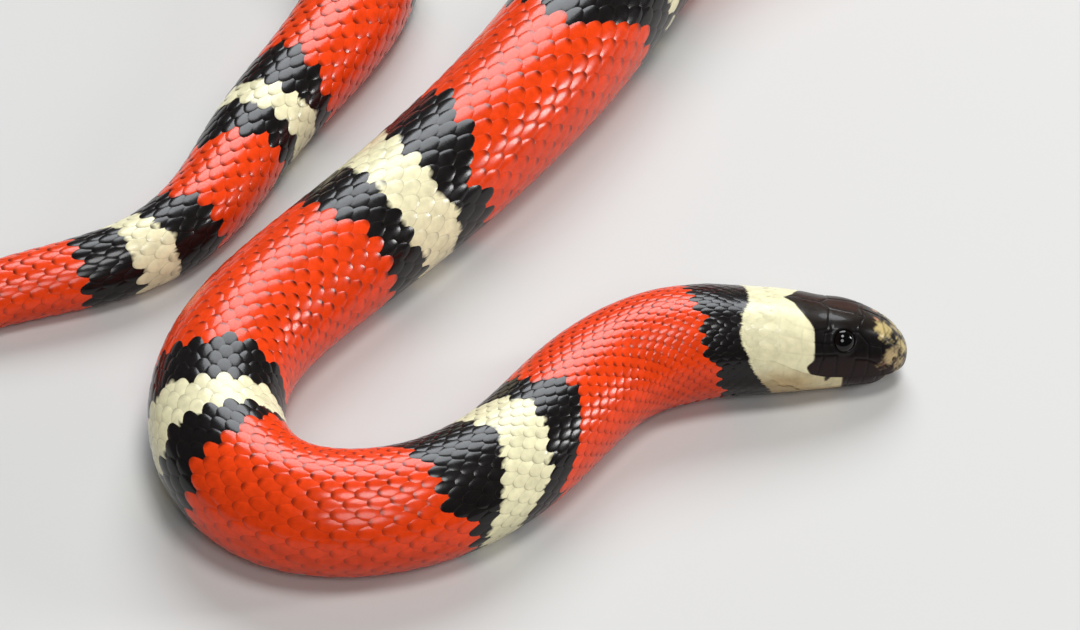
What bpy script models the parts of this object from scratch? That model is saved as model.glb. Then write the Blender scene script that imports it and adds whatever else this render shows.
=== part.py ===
"""A life-size milk snake lying on a floor in one long set of bends.

The frame is in metres, +Z up, with its origin on the floor under the middle of the
snake's footprint. The snake is placed by two coordinates along its spine: how far a
point is behind the tip of the snout, and where it is on the round of the body there.
The belly is pressed flat where it meets the floor.
"""

import math

import bmesh
import bpy
import numpy as np
from mathutils import Vector

MM = 0.001
GAP = 0.3 * MM

# The spine seen from above, in millimetres from the point that the photo is centred on,
# from the snout to the tip of the tail.
SPINE_POINTS = (
    (55, -1.6), (45, -1.7), (34, -2), (22, -3.6), (12.5, -7.6), (4.5, -16), (-3.6, -27),
    (-13, -35), (-25, -39), (-37, -37.2), (-45, -28.6), (-47.3, -16.5), (-44.6, -4.4),
    (-36, 9.2), (-23.5, 24.6), (-10.6, 42), (1.5, 61.6), (11, 81), (26, 109), (54, 133),
    (88, 150), (114, 176), (118, 212), (96, 239), (60, 244), (26, 230), (-8, 224), (-42, 233),
    (-76, 229), (-96, 202), (-91, 168), (-65, 141), (-39, 118), (-28.5, 92), (-36, 66),
    (-45.5, 47), (-52, 31.5), (-61, 20.5), (-78, 13), (-99, 5), (-121, 1), (-143, 7),
    (-160, 23), (-170, 44),
)
# Where the middle of the footprint is from that same point.
FOOTPRINT_MIDDLE = (-18.9, 104.8)

# Each table pairs a distance behind the snout with a value there, both in millimetres
# unless the name says otherwise.
HALF_WIDTH = (
    (0, 5.0), (4, 5.5), (7, 6.3), (10, 6.9), (13, 7.5), (17, 8.3), (21, 8.8), (25, 9.0),
    (30, 9.2), (36, 9.4), (48, 9.3), (63, 9.3), (83, 9.5), (100, 9.8), (130, 10.2),
    (170, 10.8), (200, 11.4), (240, 12.2), (350, 12.9), (500, 13.3), (640, 12.8),
    (740, 11.3), (820, 9.0), (850, 7.9), (880, 6.7), (920, 5.4), (960, 3.8), (1000, 2.2),
    (1030, 1.0),
)
HEIGHT_TO_WIDTH = (
    (0, 0.92), (5, 0.94), (10, 0.90), (15, 0.86), (20, 0.84), (25, 0.86), (30, 0.90),
    (36, 0.91), (48, 0.88), (1100, 0.88),
)
# How far the middle of the round is above the floor, as a share of its half height.
REST_SHARE = ((0, 0.93), (20, 0.93), (60, 0.88), (1100, 0.88))
# Squareness of the upper and lower halves of the round: 2 is an ellipse.
UPPER_POWER = ((0, 2.2), (6, 2.5), (12, 2.5), (22, 2.3), (35, 2.0), (1100, 2.0))
LOWER_POWER = ((0, 2.2), (10, 2.5), (30, 2.3), (60, 2.2), (1100, 2.2))
# The head is turned about its own length, the right side up, and the neck takes it out.
ROLL_DEGREES = ((0, 18), (20, 18), (60, 0), (1100, 0))

# The head. Each form is where it is (millimetres behind the snout, and degrees round from
# the side toward the top of the head), how wide it spreads and how high it stands.
BROW = (9.6, 54, 2.5, 0.42)
CHEEK = (17.0, 4, 4.5, 0.30)
LORE_HOLLOW = (6.0, 24, 1.9, -0.25)
EYE_HOLLOW = (9.8, 30, 2.0, -0.20)
HEAD_FORMS = (BROW, CHEEK, LORE_HOLLOW, EYE_HOLLOW)
SNOUT_ROUND = 5.0 * MM
JAW_SET_BACK = 1.1 * MM
JAW_INSET = 0.35 * MM
MOUTH_CORNER = 21.4 * MM
MOUTH_LINE = ((0, -1.5), (4, -2.2), (9, -2.5), (12, -2.4), (15, -1.8), (18, -0.7), (22, 0.7))
JAW_LEAN = 3.0 * MM
GUIDE_REACH = 14.0 * MM
HEAD_END = 30.0 * MM
EYE_BEHIND_SNOUT = 9.8 * MM
EYE_HEIGHT = 3.2 * MM
EYE_RADIUS = 1.65 * MM
EYE_BULGE = 0.55 * MM
EYE_FLATNESS = 0.8
NOSTRIL_BEHIND_SNOUT = 2.3 * MM
NOSTRIL_HEIGHT = 0.4 * MM
NOSTRIL_RADIUS = 0.42 * MM

# Where the lengths behind the head end. The last one ends at the tip of the tail.
NECK_END = 58.0 * MM
BODY_ENDS = (86, 112, 140, 190, 248, 305, 360, 412, 466, 520, 578, 632, 690, 748, 802, 850)
TAIL_ENDS = (892, 938, 984)
TAIL_TIP_ROUND = 1.6 * MM

# Fineness of the solids.
CURVE_STEP = 0.2 * MM
SPINE_STEP = 0.5 * MM
HEAD_SECTION_STEP = 0.9 * MM
BODY_SECTION_STEP = 6.0 * MM
FACING_STEP = 0.3 * MM
HEAD_SIDES = 40
BODY_SIDES = 24


def smooth_table(table, distance):
    """Read a table of millimetre pairs at a distance, with no overshoot between its rows.

    Args:
        table: Pairs of distance behind the snout and value.
        distance: A distance behind the snout in metres, or an array of them.

    Returns:
        The value or values, as the table states them.
    """
    rows = np.array(table, dtype=float)
    x, y = rows[:, 0], rows[:, 1]
    step = np.diff(x)
    rise = np.diff(y) / step
    slope = np.zeros(len(x))
    same_way = rise[:-1] * rise[1:] > 0
    both = np.where(same_way, rise[:-1] + rise[1:], 1.0)
    slope[1:-1] = np.where(same_way, 2 * rise[:-1] * rise[1:] / both, 0.0)
    at = np.clip(np.asarray(distance, dtype=float) / MM, x[0], x[-1])
    i = np.clip(np.searchsorted(x, at, side="right") - 1, 0, len(step) - 1)
    t = (at - x[i]) / step[i]
    start = y[i] * (1 + 2 * t) * (1 - t) ** 2 + slope[i] * step[i] * t * (1 - t) ** 2
    end = y[i + 1] * t * t * (3 - 2 * t) + slope[i + 1] * step[i] * t * t * (t - 1)
    return start + end


def second_derivatives(knots, points):
    """Solve for the second derivatives of the natural cubic spline through the points."""
    count = len(points)
    gap = np.diff(knots)
    matrix = np.eye(count)
    right_side = np.zeros((count, 2))
    for i in range(1, count - 1):
        matrix[i, i - 1:i + 2] = gap[i - 1], 2 * (gap[i - 1] + gap[i]), gap[i]
        after = (points[i + 1] - points[i]) / gap[i]
        before = (points[i] - points[i - 1]) / gap[i - 1]
        right_side[i] = 6 * (after - before)
    return np.linalg.solve(matrix, right_side)


class Spine:
    """The snake's middle line, read by the distance behind the snout."""

    def __init__(self, points_mm, middle_mm):
        points = (np.array(points_mm, dtype=float) - np.array(middle_mm)) * MM
        knots = np.concatenate([[0.0], np.cumsum(np.linalg.norm(np.diff(points, axis=0), axis=1))])
        curve = self._spline(knots, points)
        walked = np.concatenate([[0.0], np.cumsum(np.linalg.norm(np.diff(curve, axis=0), axis=1))])
        self.length = float(walked[-1])
        self._distance = np.arange(0.0, self.length, SPINE_STEP)
        self._x = np.interp(self._distance, walked, curve[:, 0])
        self._y = np.interp(self._distance, walked, curve[:, 1])
        heading = np.arctan2(np.gradient(self._y), np.gradient(self._x))
        self._heading = np.unwrap(heading)

    @staticmethod
    def _spline(knots, points):
        """Read the natural cubic spline through the points at close steps."""
        bend = second_derivatives(knots, points)
        at = np.linspace(0.0, knots[-1], int(knots[-1] / CURVE_STEP))
        i = np.clip(np.searchsorted(knots, at, side="right") - 1, 0, len(points) - 2)
        gap = (knots[i + 1] - knots[i])[:, None]
        left = (knots[i + 1] - at)[:, None]
        right = (at - knots[i])[:, None]
        bent = (bend[i] * left ** 3 + bend[i + 1] * right ** 3) / (6 * gap)
        start = (points[i] / gap - bend[i] * gap / 6) * left
        end = (points[i + 1] / gap - bend[i + 1] * gap / 6) * right
        return bent + start + end

    def place(self, distance, side, up, lowest=0.0):
        """Turn spine coordinates into a world point.

        Args:
            distance: Metres behind the snout.
            side: Metres from the middle of the round, to the snake's right.
            up: Metres from the middle of the round, toward the snake's back.
            lowest: The height that the point is kept on or above.

        Returns:
            The world point.
        """
        x = float(np.interp(distance, self._distance, self._x))
        y = float(np.interp(distance, self._distance, self._y))
        heading = float(np.interp(distance, self._distance, self._heading))
        roll = math.radians(float(smooth_table(ROLL_DEGREES, distance)))
        across = side * math.cos(roll) - up * math.sin(roll)
        height = side * math.sin(roll) + up * math.cos(roll)
        ahead = min(distance, 0.0)
        return Vector((
            x + ahead * math.cos(heading) - across * math.sin(heading),
            y + ahead * math.sin(heading) + across * math.cos(heading),
            max(lowest, axis_height(distance) + height),
        ))


SPINE = Spine(SPINE_POINTS, FOOTPRINT_MIDDLE)


def quarter_round(distance, radius):
    """Say how full a rounded end is at a distance inside it, from 0 at its tip to 1."""
    inside = min(max(distance / radius, 0.0), 1.0)
    return math.sqrt(1.0 - (1.0 - inside) ** 2)


def half_sizes(distance):
    """Give the half width and half height of the round, before the ends are closed."""
    width = float(smooth_table(HALF_WIDTH, distance)) * MM
    return width, width * float(smooth_table(HEIGHT_TO_WIDTH, distance))


def axis_height(distance):
    """Give the height of the middle of the round above the floor."""
    return half_sizes(distance)[1] * float(smooth_table(REST_SHARE, distance))


def end_closing(distance):
    """Give the share of its full size that the round has near the snout or the tail tip."""
    snout = quarter_round(distance, SNOUT_ROUND)
    tail = quarter_round(SPINE.length - distance, TAIL_TIP_ROUND)
    return min(snout, tail)


def head_form(distance, turn, radius):
    """Give how far the brows, cheeks and hollows move the surface of the head outward.

    Args:
        distance: Metres behind the snout.
        turn: Angle round the body, from its right side toward its back.
        radius: The round's size there, in metres.
    """
    above_side = math.asin(math.sin(turn))
    total = 0.0
    for behind_snout, degrees, spread, height in HEAD_FORMS:
        along = distance - behind_snout * MM
        around = (above_side - math.radians(degrees)) * radius
        total += height * MM * math.exp(-(along ** 2 + around ** 2) / (spread * MM) ** 2)
    return total


def round_section(distance, sides, inset=0.0, closing=None):
    """Give the world points of the round at a distance behind the snout.

    Args:
        distance: Metres behind the snout.
        sides: Number of points round the body.
        inset: Metres by which the round is smaller all the way round.
        closing: Share of the full size, or None to close it as the skull and tail do.
    """
    share = end_closing(distance) if closing is None else closing
    half_width, half_height = (max(size * share - inset, 0.02 * MM) for size in half_sizes(distance))
    upper = 2.0 / float(smooth_table(UPPER_POWER, distance))
    lower = 2.0 / float(smooth_table(LOWER_POWER, distance))
    points = []
    for i in range(sides):
        turn = 2 * math.pi * (i + 0.5) / sides
        power = upper if math.sin(turn) > 0 else lower
        grown = 1.0 + head_form(distance, turn, half_width) / half_width
        side = math.copysign(abs(math.cos(turn)) ** power, math.cos(turn)) * half_width * grown
        up = math.copysign(abs(math.sin(turn)) ** power, math.sin(turn)) * half_height * grown
        points.append(SPINE.place(distance, side, up))
    return points


def surface_side(distance, up):
    """Give how far the skull reaches to the side at a height over the middle of its round."""
    half_width, half_height = half_sizes(distance)
    share = end_closing(distance)
    table = UPPER_POWER if up > 0 else LOWER_POWER
    power = float(smooth_table(table, distance))
    return half_width * share * (1 - abs(up / (half_height * share)) ** power) ** (1 / power)


def material(name, colour, roughness):
    """Make a plain material for one part."""
    made = bpy.data.materials.new(name)
    made.use_nodes = True
    shader = made.node_tree.nodes["Principled BSDF"]
    shader.inputs["Base Color"].default_value = (*colour, 1.0)
    shader.inputs["Roughness"].default_value = roughness
    shader.inputs["Metallic"].default_value = 0.0
    return made


def add_object(name, bm, surface):
    """Put a finished bmesh into the scene as one named object."""
    bmesh.ops.recalc_face_normals(bm, faces=bm.faces)
    mesh = bpy.data.meshes.new(name)
    bm.to_mesh(mesh)
    bm.free()
    mesh.shade_smooth()
    mesh.set_sharp_from_angle(angle=math.radians(50))
    mesh.materials.append(surface)
    made = bpy.data.objects.new(name, mesh)
    bpy.context.scene.collection.objects.link(made)
    return made


def loft(sections):
    """Skin a list of rings of equal count, and close both ends with a flat face."""
    bm = bmesh.new()
    rings = []
    for points in sections:
        verts = [bm.verts.new(point) for point in points]
        rings.append([bm.edges.new((verts[i - 1], verts[i])) for i in range(len(verts))])
    for ring, following in zip(rings, rings[1:]):
        bmesh.ops.bridge_loops(bm, edges=ring + following)
    for ring in (rings[0], rings[-1]):
        bmesh.ops.edgeloop_fill(bm, edges=ring)
    return bm


def stations(start, end, step):
    """Space section distances evenly from start to end, about a step apart."""
    count = max(2, round((end - start) / step) + 1)
    return [start + (end - start) * i / (count - 1) for i in range(count)]


def head_stations(start, end):
    """Space the head's sections, closer together in the round of the snout."""
    front = [start + SNOUT_ROUND * share for share in (0.004, 0.03, 0.09, 0.2, 0.36, 0.56, 0.78)]
    return front + stations(start + SNOUT_ROUND, end, HEAD_SECTION_STEP)


def body_length(name, start, end, surface, sides=BODY_SIDES):
    """Make one length of the body, with flat ends square to the spine."""
    distances = stations(start + GAP / 2, end - GAP / 2, BODY_SECTION_STEP)
    return add_object(name, loft([round_section(at, sides) for at in distances]), surface)


def tail_tip(name, start, surface):
    """Make the last length of the tail, closed with a small round tip."""
    round_start = SPINE.length - TAIL_TIP_ROUND
    distances = stations(start + GAP / 2, round_start, BODY_SECTION_STEP)
    distances += [round_start + TAIL_TIP_ROUND * share for share in (0.4, 0.75, 0.97)]
    return add_object(name, loft([round_section(at, BODY_SIDES // 2) for at in distances]), surface)


def below_the_mouth(name, clearance, set_forward):
    """Make the block of space under the line of the mouth, as a guide for cutting.

    Args:
        name: The guide's name.
        clearance: Metres by which its top is above the line of the mouth.
        set_forward: Metres by which its back end is in front of the mouth's corner.
    """
    reach = GUIDE_REACH
    back = MOUTH_CORNER - set_forward
    bm = bmesh.new()
    rings = []
    for distance in [-SNOUT_ROUND] + stations(0.0, back, HEAD_SECTION_STEP):
        top = float(smooth_table(MOUTH_LINE, distance)) * MM + clearance
        foot = distance + (JAW_LEAN if distance == back else 0.0)
        corners = [SPINE.place(distance, side, top) for side in (-reach, 0.0, reach)]
        corners += [SPINE.place(foot, side, top - reach, -reach) for side in (reach, -reach)]
        verts = [bm.verts.new(corner) for corner in corners]
        rings.append([bm.edges.new((verts[i - 1], verts[i])) for i in range(len(verts))])
    for ring, following in zip(rings, rings[1:]):
        bmesh.ops.bridge_loops(bm, edges=ring + following)
    for ring in (rings[0], rings[-1]):
        bmesh.ops.edgeloop_fill(bm, edges=ring)
    bmesh.ops.triangulate(bm, faces=bm.faces)
    return as_guide(add_object(name, bm, material(name, (0.5, 0.5, 0.5), 0.5)))


def as_guide(made):
    """Mark an object as a guide that other objects are cut with."""
    made.hide_render = True
    made.display_type = "WIRE"
    return made


def cut(target, guide, operation="DIFFERENCE"):
    """Add a Boolean modifier to the target."""
    modifier = target.modifiers.new(guide.name, "BOOLEAN")
    modifier.operation = operation
    modifier.object = guide
    modifier.solver = "EXACT"


def ball(name, centre, outward, radius, depth, surface):
    """Make a ball flattened along one direction.

    Args:
        name: The object's name.
        centre: World point of its middle.
        outward: Unit vector that it is flattened along.
        radius: Half size across that direction.
        depth: Half size along it.
        surface: Its material.
    """
    bm = bmesh.new()
    bmesh.ops.create_icosphere(bm, subdivisions=3, radius=radius)
    bmesh.ops.scale(bm, verts=bm.verts, vec=(1.0, 1.0, depth / radius))
    turn = Vector((0.0, 0.0, 1.0)).rotation_difference(outward).to_matrix()
    bmesh.ops.rotate(bm, verts=bm.verts, matrix=turn)
    bmesh.ops.translate(bm, verts=bm.verts, vec=centre)
    return add_object(name, bm, surface)


def outward_at(distance, side_sign, up):
    """Give a point on the side of the head and the direction that the surface faces there."""
    def on_surface(at, height):
        return SPINE.place(at, surface_side(at, height) * side_sign, height)

    point = on_surface(distance, up)
    along = on_surface(distance + FACING_STEP, up) - point
    around = on_surface(distance, up + FACING_STEP) - point
    facing = along.cross(around).normalized()
    away = point - SPINE.place(distance, 0.0, up)
    return point, facing if facing.dot(away) > 0 else -facing


def add_eye(side_name, side_sign, head, surface):
    """Set one eye into the head, in a socket that it does not touch."""
    point, facing = outward_at(EYE_BEHIND_SNOUT, side_sign, EYE_HEIGHT)
    depth = EYE_RADIUS * EYE_FLATNESS
    centre = point - facing * (depth - EYE_BULGE)
    ball("eye_" + side_name, centre, facing, EYE_RADIUS, depth, surface)
    socket = ball("socket_" + side_name, centre, facing, EYE_RADIUS + GAP, depth + GAP, surface)
    cut(head, as_guide(socket))


def add_nostril(side_name, side_sign, head, surface):
    """Cut one nostril into the side of the snout."""
    point, facing = outward_at(NOSTRIL_BEHIND_SNOUT, side_sign, NOSTRIL_HEIGHT)
    pit = ball("nostril_" + side_name, point, facing, NOSTRIL_RADIUS, 2 * NOSTRIL_RADIUS, surface)
    cut(head, as_guide(pit))


def make_head(black, eye_black):
    """Make the skull with its eyes and nostrils, and the lower jaw under it."""
    skull_at = head_stations(0.0, HEAD_END - GAP / 2)
    head = add_object("head", loft([round_section(at, HEAD_SIDES) for at in skull_at]), black)
    jaw_at = head_stations(JAW_SET_BACK, MOUTH_CORNER + JAW_LEAN)
    jaw_rings = []
    for at in jaw_at:
        closing = quarter_round(at - JAW_SET_BACK, SNOUT_ROUND)
        inset = JAW_INSET * closing * (1 - at / (MOUTH_CORNER + JAW_LEAN))
        jaw_rings.append(round_section(at, HEAD_SIDES, inset, closing))
    jaw = add_object("lower_jaw", loft(jaw_rings), black)
    cut(head, below_the_mouth("mouth_opening", GAP / 2, 0.0))
    cut(jaw, below_the_mouth("jaw_space", -GAP / 2, GAP), "INTERSECT")
    for side_name, side_sign in (("right", 1), ("left", -1)):
        add_eye(side_name, side_sign, head, eye_black)
        add_nostril(side_name, side_sign, head, black)


def make_body(red, black):
    """Make every length behind the head, from the neck to the tip of the tail."""
    body_length("neck", HEAD_END, NECK_END, black)
    start = NECK_END
    for i, end in enumerate(BODY_ENDS, 1):
        body_length(f"body_{i:02d}", start, end * MM, red)
        start = end * MM
    for i, end in enumerate(TAIL_ENDS, 1):
        body_length(f"tail_{i}", start, end * MM, red)
        start = end * MM
    tail_tip("tail_tip", start, black)


def main():
    """Build the snake."""
    for old in list(bpy.data.objects):
        bpy.data.objects.remove(old, do_unlink=True)
    black = material("black_scales", (0.015, 0.013, 0.014), 0.35)
    red = material("red_scales", (0.45, 0.05, 0.03), 0.35)
    eye_black = material("eye", (0.004, 0.004, 0.005), 0.05)
    make_head(black, eye_black)
    make_body(red, black)


main()
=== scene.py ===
"""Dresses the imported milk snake: skin, head shields, scales, scutes, eyes, lights and camera.

Lengths are in metres. Every point of the snake is placed by two coordinates. The distance
is how far it is behind the tip of the snout, along the spine. The share is how far it is
round the body: 0 on the middle of the back, 1 on the middle of the belly, and negative on
the snake's left side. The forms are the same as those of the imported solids.
"""

from __future__ import annotations

import logging
import math
from dataclasses import dataclass, field
from enum import Enum

import bmesh
import bpy
import numpy as np
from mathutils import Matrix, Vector

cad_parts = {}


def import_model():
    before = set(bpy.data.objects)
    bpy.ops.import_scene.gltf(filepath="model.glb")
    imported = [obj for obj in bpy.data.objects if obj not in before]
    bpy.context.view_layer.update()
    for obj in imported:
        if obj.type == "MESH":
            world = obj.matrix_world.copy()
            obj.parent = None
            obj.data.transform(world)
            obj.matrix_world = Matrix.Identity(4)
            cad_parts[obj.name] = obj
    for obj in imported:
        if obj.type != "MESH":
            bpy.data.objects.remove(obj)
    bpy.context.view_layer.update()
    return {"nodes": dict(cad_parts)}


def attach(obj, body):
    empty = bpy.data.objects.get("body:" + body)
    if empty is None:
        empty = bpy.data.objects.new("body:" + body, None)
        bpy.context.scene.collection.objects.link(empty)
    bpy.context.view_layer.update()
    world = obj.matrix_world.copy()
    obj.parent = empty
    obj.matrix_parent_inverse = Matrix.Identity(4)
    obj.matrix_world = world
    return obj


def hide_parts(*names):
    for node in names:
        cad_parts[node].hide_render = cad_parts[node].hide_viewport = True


LOG = logging.getLogger("milk_snake")
MM = 0.001
NO_LENGTH = 1e-15
Array = np.ndarray
Pair = tuple[float, float]
Triple = tuple[float, float, float]
Table = tuple[Pair, ...]
Rgb = Triple

# The spine seen from above, in millimetres from the point that the picture is centred on,
# from the snout to the tip of the tail, and where the middle of the footprint is.
SPINE_POINTS = (
    (55, -1.6), (45, -1.7), (34, -2), (22, -3.6), (12.5, -7.6), (4.5, -16), (-3.6, -27),
    (-13, -35), (-25, -39), (-37, -37.2), (-45, -28.6), (-47.3, -16.5), (-44.6, -4.4),
    (-36, 9.2), (-23.5, 24.6), (-10.6, 42), (1.5, 61.6), (11, 81), (26, 109), (54, 133),
    (88, 150), (114, 176), (118, 212), (96, 239), (60, 244), (26, 230), (-8, 224), (-42, 233),
    (-76, 229), (-96, 202), (-91, 168), (-65, 141), (-39, 118), (-28.5, 92), (-36, 66),
    (-45.5, 47), (-52, 31.5), (-61, 20.5), (-78, 13), (-99, 5), (-121, 1), (-143, 7),
    (-160, 23), (-170, 44),
)
FOOTPRINT_MIDDLE = (-18.9, 104.8)


def smooth_table(table: Table, distance: Array | float) -> Array:
    """Read a table of millimetre pairs at a distance, with no overshoot between its rows.

    Args:
        table: Pairs of distance behind the snout and value.
        distance: Distances behind the snout, in metres.

    Returns:
        The values, as the table states them.
    """
    rows = np.array(table, dtype=float)
    x, y = rows[:, 0], rows[:, 1]
    step = np.diff(x)
    rise = np.diff(y) / step
    slope = np.zeros(len(x))
    same_way = rise[:-1] * rise[1:] > 0
    both = np.where(same_way, rise[:-1] + rise[1:], 1.0)
    slope[1:-1] = np.where(same_way, 2 * rise[:-1] * rise[1:] / both, 0.0)
    at = np.clip(np.asarray(distance, dtype=float) / MM, x[0], x[-1])
    i = np.clip(np.searchsorted(x, at, side="right") - 1, 0, len(step) - 1)
    t = (at - x[i]) / step[i]
    start = y[i] * (1 + 2 * t) * (1 - t) ** 2 + slope[i] * step[i] * t * (1 - t) ** 2
    end = y[i + 1] * t * t * (3 - 2 * t) + slope[i + 1] * step[i] * t * t * (t - 1)
    return start + end


def round_table(table: Table, share: Array | float) -> Array:
    """Read a table of thousandths of the way round and millimetres, as metres."""
    return smooth_table(table, share * 1000 * MM) * MM


@dataclass(frozen=True)
class Ease:
    """A smooth change from one value to another.

    Attributes:
        start: Where it leaves the first value.
        end: Where it reaches the second value.
        first: The first value.
        second: The second value.
    """

    start: float
    end: float
    first: float = 0.0
    second: float = 1.0

    def at(self, place: Array | float) -> Array:
        """Read the value at some places, in the unit of start and end."""
        t = np.clip((place - self.start) / (self.end - self.start), 0.0, 1.0)
        return self.first + (self.second - self.first) * t * t * (3 - 2 * t)


def quarter_round(distance: Array | float, radius: float) -> Array:
    """Say how full an end with a rounding is, from 0 at its tip to 1 inside it."""
    inside = np.clip(distance / radius, 0.0, 1.0)
    return np.sqrt(1.0 - (1.0 - inside) ** 2)


def signed_power(value: Array, power: Array) -> Array:
    """Raise a value's size to a power and keep its sign."""
    return np.sign(value) * np.abs(value) ** power


def folded(share: Array) -> Array:
    """Bring shares of the way round back between -1 and 1."""
    return np.mod(share + 1, 2) - 1


def hill(away: Array, width: float) -> Array:
    """Fall smoothly from 1 at no distance away to nearly 0 at two widths."""
    return np.exp(-(away / width) ** 2)


def steps_along(line: Array) -> Array:
    """Give how far along a line each of its points is."""
    return np.concatenate([[0.0], np.cumsum(np.hypot(*np.diff(line, axis=0).T))])


def unit(vectors: Array) -> Array:
    """Give vectors the length 1, apart from those that have no length."""
    length = np.linalg.norm(vectors, axis=-1, keepdims=True)
    return vectors / np.maximum(length, NO_LENGTH)


@dataclass
class Spine:
    """The snake's middle line, read by the distance behind the snout.

    Attributes:
        points: The line's points seen from above, in millimetres.
        middle: The middle of the footprint, among them.
        curve_step: How closely the spline is walked.
        step: How closely the finished line is kept.
        roll: Degrees that the body is rolled.
    """

    points: Table = SPINE_POINTS
    middle: Pair = FOOTPRINT_MIDDLE
    curve_step: float = 0.2 * MM
    step: float = 0.5 * MM
    roll: Table = ((0, 18), (20, 18), (60, 0), (1100, 0))
    length: float = field(init=False)

    def __post_init__(self) -> None:
        """Walk the spline and keep its places and headings."""
        points = (np.array(self.points, dtype=float) - np.array(self.middle)) * MM
        curve = self._spline(steps_along(points), points)
        walked = steps_along(curve)
        self.length = float(walked[-1])
        self._distance = np.arange(0.0, self.length, self.step)
        self._x = np.interp(self._distance, walked, curve[:, 0])
        self._y = np.interp(self._distance, walked, curve[:, 1])
        heading = np.arctan2(np.gradient(self._y), np.gradient(self._x))
        self._heading = np.unwrap(heading)

    def _spline(self, knots: Array, points: Array) -> Array:
        """Read the natural cubic spline through the points at close steps.

        Args:
            knots: Distances between the points, added up.
            points: The points.

        Returns:
            The points of the curve.
        """
        count = len(points)
        gap = np.diff(knots)
        matrix = np.eye(count)
        right_side = np.zeros((count, 2))
        for i in range(1, count - 1):
            matrix[i, i - 1:i + 2] = gap[i - 1], 2 * (gap[i - 1] + gap[i]), gap[i]
            after = (points[i + 1] - points[i]) / gap[i]
            before = (points[i] - points[i - 1]) / gap[i - 1]
            right_side[i] = 6 * (after - before)
        bend = np.linalg.solve(matrix, right_side)
        at = np.linspace(0.0, knots[-1], int(knots[-1] / self.curve_step))
        i = np.clip(np.searchsorted(knots, at, side="right") - 1, 0, count - 2)
        gap = gap[i][:, None]
        left = (knots[i + 1] - at)[:, None]
        right = (at - knots[i])[:, None]
        bent = (bend[i] * left ** 3 + bend[i + 1] * right ** 3) / (6 * gap)
        start = (points[i] / gap - bend[i] * gap / 6) * left
        end = (points[i + 1] / gap - bend[i + 1] * gap / 6) * right
        return bent + start + end

    def place(self, distance: Array | float, side: Array | float, up: Array | float,
              axis: Array | float) -> Array:
        """Turn spine coordinates into world points.

        Args:
            distance: How far behind the snout.
            side: Metres from the middle of the round, to the snake's right.
            up: Metres from the middle of the round, toward the snake's back.
            axis: Height of the middle of the round above the floor.

        Returns:
            World points, as an array whose last size is 3.
        """
        x = np.interp(distance, self._distance, self._x)
        y = np.interp(distance, self._distance, self._y)
        heading = np.interp(distance, self._distance, self._heading)
        roll = np.radians(smooth_table(self.roll, distance))
        across = side * np.cos(roll) - up * np.sin(roll)
        height = side * np.sin(roll) + up * np.cos(roll)
        ahead = np.minimum(distance, 0.0)
        return np.stack([
            x + ahead * np.cos(heading) - across * np.sin(heading),
            y + ahead * np.sin(heading) + across * np.cos(heading),
            axis + height,
        ], axis=-1)


@dataclass(frozen=True)
class HeadForm:
    """One brow, cheek or hollow of the head, as a smooth swelling.

    Attributes:
        behind_snout: Millimetres behind the snout.
        degrees: Degrees up from the side of the head.
        spread: Millimetres that it spreads.
        height: Millimetres that it stands out.
    """

    behind_snout: float
    degrees: float
    spread: float
    height: float


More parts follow.
